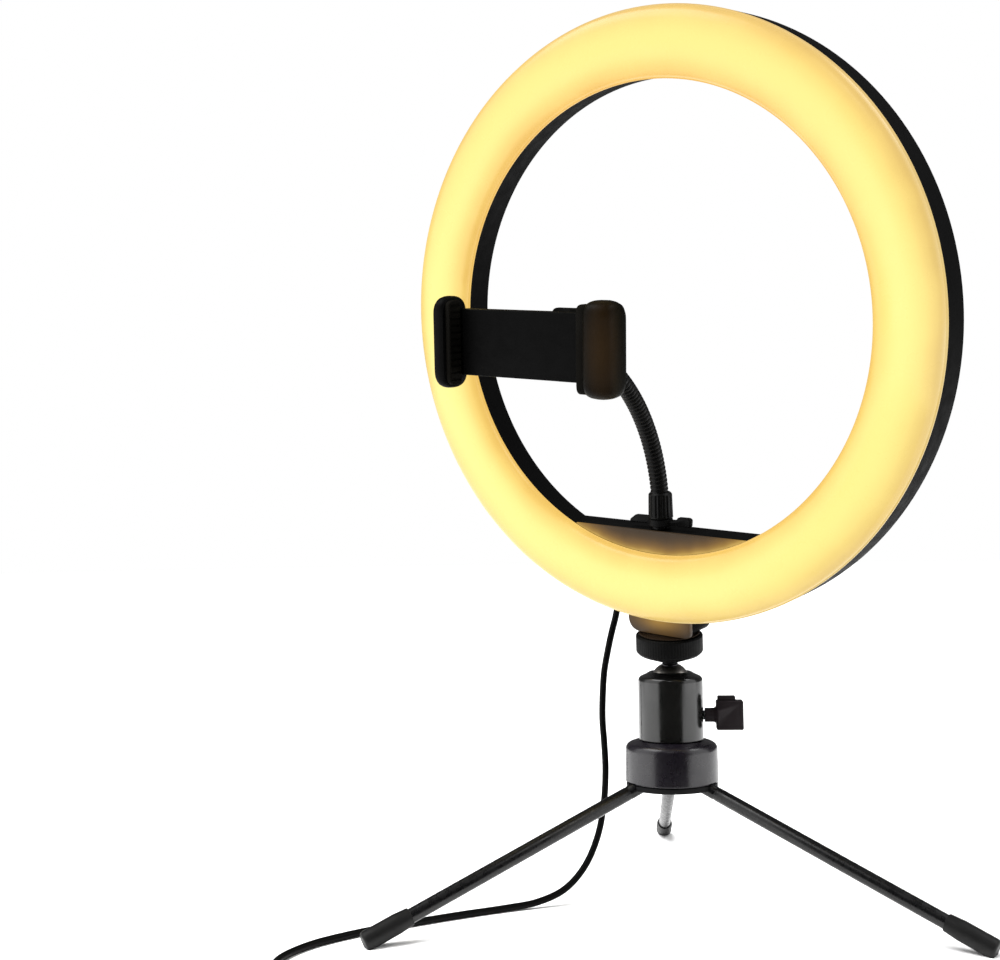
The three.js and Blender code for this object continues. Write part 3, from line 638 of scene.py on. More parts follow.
def ring_fronts():
    """The two flat front pieces that close the driver's bay and the foot."""
    layers = []
    for y, r, drop in ((2.0, 100.3, 0), (0.85, 100.3, 0), (0.55, 100.3, 0.1), (0.4, 100.3, 0.35)):
        layers.append((arc_below(r, -90.5 - drop), y))
    cover = loft("driver_front", layers, RING, "XZ")
    stand_in(cover, "ring_head", COVER_GLOW, "housing", "driver_cover", sharp=50)
    edge = lathe("foot_front_cut", [(0, -5), (130.35, -5), (130.35, 25), (0, 25)], RING, 192, "Y")
    foot = prism("foot_front", rounded([(-16, -120), (-16, -136.3), (15.5, -136.3), (15.5, -120)],
                                       [0, 7, 2.5, 0], 8, closed=True), 0.3, 3, RING, "XZ")
    soften(foot, 0.35)
    settled(foot)
    combine(foot, [edge])
    stand_in(foot, "ring_head", FOOT_GLOW, "housing", "foot_cover")


def cross_recess(radius, depth, top, where, axis="Y"):
    """Two crossed bars that cut a screw's recess."""
    w = radius * 0.16
    a = box_outline(-radius * 0.62, radius * 0.62, -w, w)
    b = box_outline(-w, w, -radius * 0.62, radius * 0.62)
    plane = {"Y": "XZ", "Z": "XY"}[axis]
    return [prism("recess_a", a, top - depth, top + 1, where, plane),
            prism("recess_b", b, top - depth, top + 1, where, plane)]


def ring_screws():
    for i, angle in enumerate((35, 145, 215, 325)):
        a = angle * DEG
        at = RING @ shift(116 * math.cos(a), 0, 116 * math.sin(a)) @ turn("Y", 0.7 * i)
        head = lathe(f"tray_screw_{i + 1}",
                     rounded([(0, 18.25), (2.9, 18.25), (2.9, 18.8), (2.2, 19.6), (0, 19.9)],
                                                    [0, .1, .3, .6, 0]), at, 40, "Y")
        combine(head, cross_recess(2.9, 0.8, 19.9, at))
        stand_in(head, "ring_head", BLACK_OXIDE, "fastener", f"housing_screw_{i + 1}")


GLAND = RING @ shift(0, 11, 0) @ turn("Y", math.pi + 12.6 * DEG)


def gland():
    """The ribbed sleeve that guards the cord where it leaves the tray."""
    line = [(1.55, 130.05), (3.1, 130.05), (3.1, 130.9)]
    for k in range(3):
        r = 2.85 - 0.2 * k
        low = 131.0 + 0.85 * k
        line += [(r - 0.45, low), (r - 0.45, low + 0.3), (r, low + 0.4), (r, low + 0.8)]
    line += [(2.3, 133.6), (1.55, 133.6)]
    sleeve = lathe("cord_sleeve", line, GLAND, 40, "Z", closed=True)
    stand_in(sleeve, "ring_head", CORD_RUBBER, "cord_rubber", "cord_gland")


diffuser()
tray()
ring_fronts()
ring_screws()
gland()


# ------------------------------------------------------------------ ball head
def ball_and_stud():
    turned = [(8.9 * math.sin(a), -8.9 * math.cos(a)) for a in [math.pi * k / 40 for k in range(41)]]
    ball = lathe("ball_turning", turned, TILTED, 80)
    stand_in(ball, "ball", BALL_PLATE, "ball_steel", "ball", sharp=60)
    pitch = 1.27
    root = [(9.02 * math.sin(a), 9.02 * math.cos(a)) for a in [0.1 * k for k in range(5)]]
    rise = root + [(3.5, 8.7), (2.9, 9.1), (2.6, 9.7), (2.6, 10.3)] + [(3.1, 10.6 + 0.127 * k)
                                                                       for k in range(138)] + [(0, 28.5)]

    def thread(angle, r, h):
        if h < 10.5:
            return r
        part = (h / pitch - angle / (2 * math.pi)) % 1
        fade = min(1, max(0, (28.4 - h) / 1.2))
        return 2.45 + (0.1 + 0.55 * fade) * (1 - abs(2 * part - 1))
    stud = lathe("stud_thread", rise, TILTED, 36, wave=thread)
    stand_in(stud, "stud", BLACK_OXIDE, "ball_steel", "ball_stud", sharp=25)


def thumb_wheel():
    """A wheel with a conical underside and shallow straight flutes round its rim."""
    rim = [(3.45, 22.4), (3.45, 10.6)]
    rim += rounded([(3.45, 10.6), (6, 10.6), (13.6, 13.6), (14.75, 14.8), (14.75, 21.7), (14.2, 22.4),
                    (3.45, 22.4)],
                   [0, 1.5, 1.5, .6, .4, .3, 0])[1:-1]

    def flutes(angle, r, h):
        if r < 13.9:
            return r
        return r - 0.1 * max(0.0, math.cos(72 * angle)) ** 2
    wheel = lathe("thumb_wheel_turning", rim, TILTED, 432, closed=True, wave=flutes)
    stand_in(wheel, "thumb_wheel", BLACK_PLASTIC, "knob", "thumb_wheel", sharp=40)
    rings = [(3.9, 22.7), (13.2, 22.7), (13.5, 22.9), (13.5, 23.2), (13.25, 23.4)]
    for r in (12.2, 10.6, 9.0, 7.4, 5.8):
        rings += [(r + 0.35, 23.4), (r + 0.2, 23.1), (r - 0.2, 23.1), (r - 0.35, 23.4)]
    rings += [(3.9, 23.4)]
    pad = lathe("wheel_pad_turning", rings, TILTED, 96, closed=True)
    stand_in(pad, "thumb_wheel", WHEEL_RUBBER, "rubber_pad", "wheel_pad")


def head_and_hub():
    """The lacquered cup that holds the ball, and the hub it is bolted to."""
    socket = [(9.2 * math.cos(a), 96 + 9.2 * math.sin(a))
              for a in [math.asin(4.4 / 9.2) * k / 10 for k in range(11)]]
    cup = [(0, 71.3),
           *rounded([(0, 71.3), (14.3, 71.3), (14.3, 98.4), (10.9, 99.9), (9.2, 100.9), (8.1, 100.5)],
                               [0, .5, 2.6, 2, .4, 0], 8)[1:]]
    cup += [*reversed(socket), (9.2, 80.2), (0, 80)]
    body = lathe("ball_cup", cup, TRIPOD, 128)
    hole = lathe("lock_cut", [(0, 8), (2.6, 8), (2.6, 16), (0, 16)], LOCK, 32, "X")
    bolt = lathe("bolt_cut", [(0, 70), (3.4, 70), (3.4, 78), (0, 78)], TRIPOD, 32)
    combine(body, [hole, bolt])
    stand_in(body, "root", HEAD_LACQUER, "gloss_head", "ball_housing", sharp=50)
    seat = lathe("ball_seat_turning",
                 rounded([(3.5, 80.5), (8.8, 80.5), (8.8, 91.5), (8.25, 91.5), (5.4, 88),
                                               (3.5, 87)], 0.3, closed=True), TRIPOD, 64, closed=True)
    stand_in(seat, "root", INNER_PLASTIC, "inner_plastic", "ball_seat")
    shell = rounded([(18.7, 53.3), (20.5, 53.3), (20.4, 62), (20.3, 69.4), (15.2, 71.1), (0, 71.1)],
                     [0, .5, 3, 5, 1, 0], 9)
    shell += [(0, 69), (13.6, 68.6), (17.2, 66.6), (18.7, 63.8)]
    hub = lathe("hub_turning", shell, TRIPOD, 144, closed=True)
    drilled = lathe("hub_bolt_cut", [(0, 60), (3.4, 60), (3.4, 75), (0, 75)], TRIPOD, 32)
    combine(hub, [drilled, *leg_slots(53.9)])
    stand_in(hub, "root", HUB_LACQUER, "gloss_head", "hub_shell", sharp=50)


LOCK = TRIPOD @ shift(0, 0, 81.7) @ turn("Z", 35 * DEG)
LEGS = (243, 3, 125)


def leg_frame(angle):
    """At a leg's pivot pin, with X pointing away from the tripod's axis."""
    return TRIPOD @ turn("Z", angle * DEG) @ shift(12.5, 0, 53.3)


def leg_slots(top):
    cuts = []
    for i, angle in enumerate(LEGS):
        at = TRIPOD @ turn("Z", angle * DEG)
        cuts.append(block(f"leg_cut_{i}_{round(top)}", (7, 24), (-3.4, 3.4), (46, top), at))
    return cuts


def lock_knob():
    """A paddle knob: stepped stem, rounded paddle with a raised bar along its top."""
    stem = lathe("knob_stem",
                 [(2.3, 14.9), *rounded([(2.3, 14.9), (3.1, 14.9), (3.1, 19), (4.2, 20.4), (4.2, 21.2)],
                                                     [0, .2, .8, .3,
                                                      0])[1:], (2.3, 21.2)], LOCK, 40, "X", closed=True)
    paddle = prism("knob_paddle", box_outline(-3.4, 3.4, -6.4, 6.4, 0.9, 4), 19.9, 31.8, LOCK, "YZ")
    bar = prism("knob_bar", box_outline(20.6, 28.4, 5.4, 8.3, 0.5, 3), -2.2, 2.2, LOCK, "XZ")
    soften(paddle, 1.0, 4)
    soften(bar, 0.5, 3)
    settled(paddle)
    settled(bar)
    combine(paddle, [bar], "UNION")
    hollow = lathe("knob_bore", [(0, 12), (2.3, 12), (2.3, 17.6), (0, 17.6)], LOCK, 32, "X")
    combine(paddle, [stem], "UNION")
    combine(paddle, [hollow])
    stand_in(paddle, "lock_knob", KNOB_PLASTIC, "knob", "lock_knob", sharp=45)


def hub_base():
    """The black base plate: its edge shows as a thin lip under the hub."""
    disc = lathe("base_turning",
                 [(0, 50.6), *rounded([(0, 50.6), (20.1, 50.6), (20.1, 53), (18.3, 53), (18.3, 63.8),
                                                       (14.4, 68.4), (0, 68.4)], [0, .6, .5, .2, 1, 1,
                                                                                  0])[1:]],
                 TRIPOD, 128)
    holes = [lathe("base_cut_a", [(0, 49), (3.4, 49), (3.4, 70), (0, 70)], TRIPOD, 32),
             lathe("base_cut_b", [(0, 49), (5.5, 49), (5.5, 56), (0, 56)], TRIPOD, 48)]
    combine(disc, [*holes, *leg_slots(56.8)])
    stand_in(disc, "root", INNER_PLASTIC, "inner_plastic", "hub_base")
    hexagon = [(5.1 * math.cos(k * math.pi / 3), 5.1 * math.sin(k * math.pi / 3)) for k in range(6)]
    bolt = prism("hub_bolt_head", hexagon, 52.4, 55.7, TRIPOD)
    soften(bolt, 0.3)
    settled(bolt)
    shank = lathe("hub_bolt_shank", rounded([(0, 55.2), (3.05, 55.2), (3.05, 76.8), (2.5, 77.4), (0, 77.4)],
                                            [0, .1, .1, .1, 0]), TRIPOD, 40)
    merge(bolt, [shank])
    stand_in(bolt, "root", STEEL, "steel", "hub_bolt")


def leg(i):
    """A round lacquered leg with a rounded, pin-drilled end at its hinge, a crimp line and a rubber foot.
    """
    at = leg_frame(LEGS[i]) @ turn("Y", 21.6 * DEG)
    line = [(0, -2.97),
            *[(3 * math.sin(a), -3 * math.cos(a)) for a in [math.pi * k / 16 for k in range(1, 9)]]]
    line += [(3, 9.6), (2.85, 10.0), (2.85, 10.5), (3, 10.9), (3, 116.6), (3, 129.4), (2.7, 129.7),
             (0, 129.7)]
    bar = lathe(f"leg_tube_{i + 1}", line, at, 40, "X")
    pin_hole = lathe("pin_cut", [(0, -5), (1.5, -5), (1.5, 5), (0, 5)], at, 24, "Y")
    combine(bar, [pin_hole])
    stand_in(bar, f"leg_{i + 1}", LEG_LACQUER, "leg_metal", f"leg_{i + 1}")
    cap = [(3.1, 117.6), *rounded([(3.1, 117.6), (3.6, 117.6), (4.1, 123.6), (4.1, 138.7), (0, 138.7)],
                                  [0, .3, 3, 1.6, 0], 5)[1:], (0, 130.2), (3.1, 130.2)]
    foot = lathe(f"foot_cap_{i + 1}", cap, at, 48, "X", closed=True)
    floor_cut = block("floor_cut", (80, 165), (-8, 8), (-73.3, -53.3), leg_frame(LEGS[i]))
    combine(foot, [floor_cut])
    stand_in(foot, f"leg_{i + 1}", FOOT_RUBBER, "foot_rubber", f"leg_foot_{i + 1}")
    pin = lathe(f"hinge_pin_{i + 1}", rounded([(0, -5), (1.2, -5), (1.2, 5), (0, 5)], [0, .3, .3, 0]),
                leg_frame(LEGS[i]), 24, "Y")
    stand_in(pin, "root", STEEL, "steel", f"leg_pin_{i + 1}")


def lock_screw():
    pitch = 0.8

    def thread(angle, r, h):
        part = (h / pitch - angle / (2 * math.pi)) % 1
        return r - 0.35 * abs(2 * part - 1) if r > 2 else r
    line = [(0, 9.2), (1.6, 9.2)] + [(2.2, 9.6 + 0.1 * k) for k in range(77)] + [(0, 17.3)]
    screw = lathe("lock_screw_thread", line, LOCK, 24, "X", wave=thread)
    stand_in(screw, "lock_knob", STEEL, "steel", "lock_screw", sharp=25)


ball_and_stud()
thumb_wheel()
head_and_hub()
hub_base()
lock_knob()
lock_screw()
for i in range(3):
    leg(i)


# ------------------------------------------------------------------ phone holder
NECK_X, NECK_Y, NECK_Z, NECK_ARC = -1.5, 6.3, -83, 79
NECK_END = 73.5


def neck_point(degrees):
    a = degrees * DEG
    return Vector((NECK_X, NECK_Y - NECK_ARC * (1 - math.cos(a)), NECK_Z + NECK_ARC * math.sin(a)))


def neck_way(degrees):
    a = degrees * DEG
    return Vector((0, -math.sin(a), math.cos(a)))


def knuckle(angle):
    return 7.5 + 13.2 * (angle - 1)


def neck_stretch(name, start, end):
    """A length of gooseneck: a hose of close turns, wound as one screw-like ridge."""
    begin, reach = start * DEG * NECK_ARC, (end - start) * DEG * NECK_ARC
    steps = max(8, round(reach / 0.19))
    line = [neck_point(start + (end - start) * k / steps) for k in range(steps + 1)]

    def ridge(run, angle):
        part = ((begin + run) / 1.9 - angle / (2 * math.pi)) % 1
        return -0.4 * abs(2 * part - 1) ** 3
    return sweep(name, line, 3.9, RING, 28, ridge)


def neck():
    """Six stretches of hose, each from the middle of one link to the middle of the next."""
    middles = [knuckle(i) + 6.6 for i in range(1, 6)]
    starts, ends = [1.0, *middles], [*middles, NECK_END - 0.1]
    for k in range(6):
        hose = neck_stretch(f"neck_hose_{k}", starts[k], ends[k])
        dress(hose, NECK_METAL, 70)
        if k < 5:
            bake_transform(hose)
        else:
            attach(hose, "neck_5")
        if k:
            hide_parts(f"neck_link_{k}")


def neck_root():
    """The post in the driver housing, its wing nut, and the ribbed sleeve that turns on it."""
    at = RING @ shift(NECK_X, NECK_Y, 0)
    post = lathe("post_turning",
                 [(0, -90.2), *rounded([(0, -90.2), (4.2, -90.2), (4.2, -88.9), (2.4, -88.9),
                                                        (2.4, -79), (0, -79)], [0, .3, .3, .2, .4,
                                                                                0])[1:]], at, 48)
    stand_in(post, "ring_head", NECK_METAL, "neck_metal", "neck_post")
    collar = lathe("wing_collar",
                   rounded([(2.8, -88.6), (5.6, -88.6), (5.2, -85.9), (4.9, -85.7), (2.8, -85.7)],
                                          [0, .3, .3, .1, 0]), at, 48, closed=True)
    wings = []
    for side, shape in ((-1, [(4.6, -88.4), (15.3, -88.5), (15.5, -87.2), (12.6, -85.0), (4.6, -84.9)]),
                        (1, [(4.6, -88.4), (15.4, -88.5), (15.7, -85.0), (14.4, -84.4), (9.4, -84.5),
                             (8.2, -85.9),
                             (4.6, -86.0)])):
        outline = rounded([(side * x, z) for x, z in shape], 1.0, 5, closed=True)
        wing = prism(f"wing_{side + 1}", outline, -1.3, 1.3, at, "XZ")
        soften(wing, 0.45)
        settled(wing)
        wings.append(wing)
    bore = lathe("wing_bore", [(0, -90), (2.8, -90), (2.8, -84), (0, -84)], at, 40)
    combine(wings[0], [wings[1], collar], "UNION")
    combine(wings[0], [bore])
    stand_in(wings[0], "wing_nut", BLACK_PLASTIC, "knob", "wing_nut")

    def flutes(angle, r, h):
        return r - (0.32 * max(0.0, math.cos(14 * angle)) if r > 4.95 and -84.6 < h < -75.2 else 0)
    shell = rounded([(2.7, -85.3), (5.4, -85.3), (5.4, -84.8), (5.35, -84.5), (5.15, -75.3), (5.1, -74.9),
                     (4.3, -74),
                     (3.0, -74)], [0, .3, .1, 0, 0, .1, .6, 0])
    middle = [(5.35 - 0.2 * k / 8, -84.4 + 9 * k / 8) for k in range(9)]
    shell = [p for p in shell if not (-84.45 < p[1] < -75.35)]
    cut = next(i for i, p in enumerate(shell) if p[1] > -75.5)
    shell = [*shell[:cut], *middle, *shell[cut:], (3.0, -78.2), (2.7, -78.4)]
    sleeve = lathe("sleeve_turning", shell, at, 168, closed=True, wave=flutes)
    stand_in(sleeve, "neck_base", NECK_METAL, "neck_metal", "neck_sleeve", sharp=50)


# The ball joint behind the clamp: +Z is the neck's end direction, from the neck's last point.
END_POINT = neck_point(NECK_END)
SWIVEL = RING @ shift(*END_POINT) @ turn("X", NECK_END * DEG)
BALL_AT = END_POINT + neck_way(NECK_END) * 16.5
CLAMP_TURN, CLAMP_SHIFT = 1.6 * DEG, -3.7
CLAMP = RING @ shift(*BALL_AT) @ turn("Y", CLAMP_TURN) @ shift(*-BALL_AT) @ shift(0, 0, CLAMP_SHIFT)


def swivel():
    cup = [(3.0, 0.8),
           *rounded([(3.0, 0.8), (4.9, 0.8), (4.9, 8.6), (6.3, 10.2), (6.3, 15.6), (5.05, 15.6)],
                                [0, .5, .8, .6, .3, 0])[1:]]
    cup += [(5.0 * math.cos(a), 16.5 + 5.0 * math.sin(a)) for a in [-(0.2 + 0.13 * k) for k in range(10)]]
    cup += [(0, 11.5), (0, 0.8)]
    body = lathe("swivel_turning", cup, SWIVEL, 64)
    stand_in(body, "neck_5", BLACK_PLASTIC, "inner_plastic", "swivel_cup", sharp=50)

    def knurl(angle, r, h):
        return r - (0.35 * max(0.0, math.cos(26 * angle)) if r > 7.7 else 0)
    nut = rounded([(6.6, 9.4), (8, 9.4), (8, 18), (7.2, 18.8), (4.5, 18.8), (4.5, 17.3), (5.2, 16.4),
                   (6.6, 16.2)],
                  [.1, .5, .3, .3, .2, .2, .2, .1], closed=True)
    ring = lathe("joint_nut_turning", nut, SWIVEL, 208, closed=True, wave=knurl)
    stand_in(ring, "joint_nut", BLACK_PLASTIC, "knob", "joint_nut")
    ball = [(4.8 * math.sin(a), -4.8 * math.cos(a)) for a in [math.pi * k / 24 for k in range(21)]]
    at = RING @ shift(*BALL_AT) @ turn("X", math.pi / 2)
    reach = BALL_AT.y + 76.9
    post = lathe("clamp_ball_turning", [*ball, (1.9, 5.0), (1.9, reach), (0, reach)], at, 48)
    stand_in(post, "clamp_ball", NECK_METAL, "neck_metal", "ball_post", sharp=50)


def jaw(name, x0, x1, swell):
    """A rounded jaw whose outer side is gently convex. swell is +1 or -1 for its outer side."""
    def outline(inset, steps=7):
        return box_outline(-92 + inset, -77 - inset, -18 + inset, 18 - inset, max(0.8, 7 - inset), steps)
    outer, inner = (x1, x0) if swell > 0 else (x0, x1)
    rows = [(0.55, 0), (0.15, 0.12), (0, 0.3), (0, 0.52), (0.35, 0.72), (1.1, 0.88), (2.3, 0.97),
            (3.9, 1.0)]
    layers = [(outline(inset), inner + (outer - inner) * t) for inset, t in rows]
    return loft(name, layers, CLAMP, "YZ")


def clamp():
    """The spring clamp: a flat plate with a fixed jaw, and a jaw that slides out on two rails."""
    plate = prism("plate_body",
                  rounded([(-36.2, -12.9), (29.7, -12.9), (29.7, 12.9), (-36.2, 12.9)], 0.6, 3,
                                        closed=True), -83, -77, CLAMP, "XZ")
    soften(plate, 0.6)
    settled(plate)
    hollow = prism("plate_cut", box_outline(-33, 33, -9, 9), -81.5, -78.5, CLAMP, "XZ")
    steps = [block(f"plate_step_{i}", x, (-84, -82), (-30, 30), CLAMP)
             for i, x in enumerate(((-38, -33.6), (25.5, 31)))]
    combine(plate, [hollow, *steps])
    stand_in(plate, "clamp", CLAMP_PLASTIC, "clamp_plastic", "clamp_plate")
    fixed = jaw("fixed_jaw_shell", -42.5, -36.5, -1)
    stand_in(fixed, "clamp", CLAMP_PLASTIC, "clamp_plastic", "fixed_jaw", sharp=60)
    moving = jaw("sliding_jaw_shell", 30, 41, 1)
    rails = [block("rail_low", (-32.5, 30.5), (-81.2, -78.8), (-8.6, -4), CLAMP),
             block("rail_high", (-32.5, 30.5), (-81.2, -78.8), (4, 8.6), CLAMP),
             block("rail_cross", (26.5, 30.5), (-81.2, -78.8), (-8.6, 8.6), CLAMP)]
    strap = prism("jaw_strap", box_outline(5, 32, -13.8, 14.2, [3, .5, .5, 3], 5), -76.7, -75.2, CLAMP,
                  "XZ")
    soften(strap, 0.5)
    settled(strap)
    root = block("strap_root", (30, 32), (-78, -75.2), (-13.8, 14.2), CLAMP)
    soften(root, 0.4)
    settled(root)
    combine(moving, [*rails, strap, root], "UNION")
    stand_in(moving, "sliding_jaw", JAW_PAINTED_SHEEN, "clamp_plastic", "sliding_jaw", sharp=60)
    for name, x0, x1, node, body in (("fixed_pad_rubber", -36.2, -34.2, "fixed_pad", "clamp"),
                                     ("sliding_pad_rubber", 29.7, 26.1, "sliding_pad", "sliding_jaw")):
        pad = prism(name, box_outline(-90.4, -83.5, -16.4, 16.4, [4, .6, .6, 4], 5), min(x0, x1),
                    max(x0, x1),
                    CLAMP, "YZ")
        soften(pad, 0.3)
        settled(pad)
        face = x1
        grooves = [block(f"pad_cut_{k}", sorted((face - 0.35, face + 0.35)), (-89.6, -83),
                         (z - 0.4, z + 0.4), CLAMP)
                   for k, z in enumerate([-14.3 + 2.6 * j for j in range(12)])]
        combine(pad, grooves)
        stand_in(pad, body, PAD_RUBBER, "rubber_pad", node)
    turns, count = 28, 28 * 14
    coil = []
    for k in range(count + 1):
        a = 2 * math.pi * turns * k / count
        coil.append((-33.1 + 59.2 * k / count, -80 + 0.8 * math.cos(a), 0.8 * math.sin(a)))
    spring = sweep("spring_wire", coil, 0.22, CLAMP, 8)
    dress(spring, STEEL)
    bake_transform(spring)
    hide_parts("clamp_spring")


neck()
neck_root()
swivel()
clamp()


# ------------------------------------------------------------------ controller and plug
CONTROL = TRIPOD @ shift(5.5, -149.4, 0) @ turn("Z", 35.5 * DEG)
PLUG = CONTROL @ shift(64.3, 0, 0)


def controller():
    """A slim two-shell remote on the cord, with four buttons."""
    outer = box_outline(-31, 31, -9.5, 9.5, 5, 8)
    lower = loft("remote_lower", [(box_outline(-30.2, 30.2, -8.7, 8.7, 4.2, 8), 0.1),
                                  (box_outline(-30.8, 30.8, -9.3, 9.3, 4.8, 8), 0.5), (outer, 1.2),
                                  (outer, 4.8)],
                 CONTROL)
    glands = []
    for side in (0, math.pi):
        at = CONTROL @ shift(0, 0, 2.6) @ turn("Z", side)
        line = [(0, 30), (2.3, 30), (2.3, 31.6)]
        for k in range(4):
            r, x = 2.2 - 0.06 * k, 31.9 + 1.3 * k
            line += [(r - 0.3, x), (r - 0.3, x + 0.4), (r, x + 0.55), (r, x + 1.0)]
        glands.append(lathe(f"remote_gland_{round(side)}", [*line, (1.9, 37.3), (0, 37.3)], at, 32, "X"))
    hollow = prism("remote_cut", box_outline(-29.5, 29.5, -8, 8, 3.5, 8), 1.6, 6, CONTROL)
    combine(lower, glands, "UNION")
    combine(lower, [hollow])
    stand_in(lower, "root", BLACK_PLASTIC, "inner_plastic", "controller_bottom")
    top = loft("remote_upper", [(box_outline(-30.8, 30.8, -9.3, 9.3, 4.8, 8), 5.1),
                                (box_outline(-30.8, 30.8, -9.3, 9.3, 4.8, 8), 8.6),
                                (box_outline(-30.5, 30.5, -9.0, 9.0, 4.5, 8), 9.4),
                                (box_outline(-29.7, 29.7, -8.2, 8.2, 3.7, 8), 10)], CONTROL)
    cuts = [prism("remote_upper_cut", box_outline(-29.1, 29.1, -7.6, 7.6, 3.1, 8), 4, 8.4, CONTROL)]
    places = (-19.5, -6.5, 6.5, 19.5)
    for k, x in enumerate(places):
        cuts.append(lathe(f"button_cut_{k}",
                          [(0, 7), (3.7, 7), (3.7, 9.5), (4.1, 10.2), (4.1, 12), (0, 12)],
                          CONTROL @ shift(x, 0, 0), 48))
    combine(top, cuts)
    stand_in(top, "root", BLACK_PLASTIC, "inner_plastic", "controller_top")
    for k, x in enumerate(places):
        at = CONTROL @ shift(x, 0, 0)
        button = lathe(f"button_cap_{k + 1}",
                       rounded([(0, 6), (3.3, 6), (3.3, 10.7), (2.8, 11.1), (1.2, 10.9),
                                                       (0, 10.85)], [0, .2, .3, .3, .2, 0]), at, 48)
        marks = []
        if k in (1, 2):
            marks.append(block("bar_a", (-1.4, 1.4), (-0.28, 0.28), (10.7, 12), at))
        if k == 2:
            marks.append(block("bar_b", (-0.28, 0.28), (-1.4, 1.4), (10.7, 12), at))
        if marks:
            combine(button, marks)
        stand_in(button, f"button_{k + 1}", BUTTON_RUBBER, "button", f"controller_button_{k + 1}")


def plug():
    """The lead's plug: ribbed relief, moulded grip, and a pressed metal shell round its tongue."""
    line = [(0, 0), (1.7, 0)]
    for k in range(5):
        r, x = 2.1 + 0.16 * k, 0.3 + 1.5 * k
        line += [(r, x), (r, x + 0.9), (r - 0.35, x + 1.05), (r - 0.35, x + 1.35)]
    relief = lathe("plug_relief", [*line, (2.6, 8), (0, 8)], PLUG @ shift(0, 0, 3.8), 32, "X")
    grip = loft("plug_grip", [(box_outline(7.1, 26.4, -6.9, 6.9, 1.6, 6), 0.1),
                              (box_outline(6.5, 27, -7.5, 7.5, 2, 6), 0.8),
                              (box_outline(6.5, 27, -7.5, 7.5, 2, 6), 6.8),
                              (box_outline(7.1, 26.4, -6.9, 6.9, 1.6, 6), 7.5)],
                PLUG)
    ridges = [block(f"grip_cut_{k}_{s}", (9.5 + 2 * k, 10.3 + 2 * k), sorted((7.05 * s, 9 * s)), (1.2, 6.4),
                    PLUG)
              for k in range(5) for s in (-1, 1)]
    combine(grip, ridges)
    tongue = block("plug_tongue", (26.5, 38.6), (-5.2, 5.2), (2.35, 3.9), PLUG)
    merge(grip, [relief, tongue])
    stand_in(grip, "root", CORD_RUBBER, "cord_rubber", "usb_moulding")
    can = prism("plug_can", box_outline(-6, 6, 1.55, 6.05, 0.5, 3), 27.3, 39.3, PLUG, "YZ")
    cuts = [prism("can_cut", box_outline(-5.6, 5.6, 1.95, 5.65, 0.3, 3), 27, 40, PLUG, "YZ")]
    cuts += [block(f"can_hole_{k}", (31.6, 33.8), (y - 1.1, y + 1.1), (5, 7), PLUG)
             for k, y in enumerate((-2.7, 2.7))]
    combine(can, cuts)
    stand_in(can, "root", PLUG_METAL, "plug_metal", "usb_shell")
    return grip, can


controller()
GRIP, CAN = plug()


# ------------------------------------------------------------------ cord
CORD = 1.5
FLOOR_LINE = 1.6
DROP = [(-25.6, -3.1, 129.7), (-27.2, -3.1, 123.6), (-28.5, -4.1, 117.5), (-29.7, -5.6, 109.5),
        (-30.7, -7.4, 99.6),
        (-31.1, -8.4, 87.1), (-31.2, -8.5, 78.1), (-30.6, -8.2, 67.5), (-30, -8.4, 56), (-30, -10, 42),
        (-31, -13.5, 28), (-33.6, -20, 15.5), (-38, -29, 6.8), (-44.5, -40, 2.6), (-52, -53, FLOOR_LINE),
        (-61, -72, FLOOR_LINE), (-70, -94, FLOOR_LINE), (-78, -118, FLOOR_LINE), (-81, -140, FLOOR_LINE),
        (-76, -160, FLOOR_LINE), (-62, -172, FLOOR_LINE), (-45, -176, FLOOR_LINE)]
IDENTITY = Matrix.Identity(4)


def in_tripod(point):
    return TRIPOD.inverted() @ point / MM


def cord_piece(name, line):
    """A cord stretch in the row frame, and its centreline in metres."""
    row = [TRIPOD @ (Vector(p) * MM) for p in line]
    tube = sweep(name, [p / MM for p in row], CORD, IDENTITY, 14)
    dress(tube, CORD_RUBBER, 60)
    return tube, [list(p) for p in row]


def hanging_cord():
    """From the tray to the controller, in three stretches."""
    entry = [in_tripod(CONTROL @ (Vector(p) * MM)) for p in ((-46.3, 0, 2.3), (-36.8, 0, 2.6))]
    line = curve_points([*DROP, *entry], 2.0)
    heights = [p.z for p in line]
    first = next(i for i, z in enumerate(heights) if z < 92)
    second = next(i for i, z in enumerate(heights) if z < 60)
    parts = (("cord_top", line[:first + 1], "stud", "ring_head"),
             ("cord_middle", line[first:second + 1], "ball", "stud"),
             ("cord_floor", line[second:], "root", "ball"))
    for k, (name, stretch, low, high) in enumerate(parts):
        tube, path = cord_piece(name, stretch)
        if k < 2:
            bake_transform(tube)
        else:
            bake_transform(tube)
        if k == 0:
            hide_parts("cord_drop")


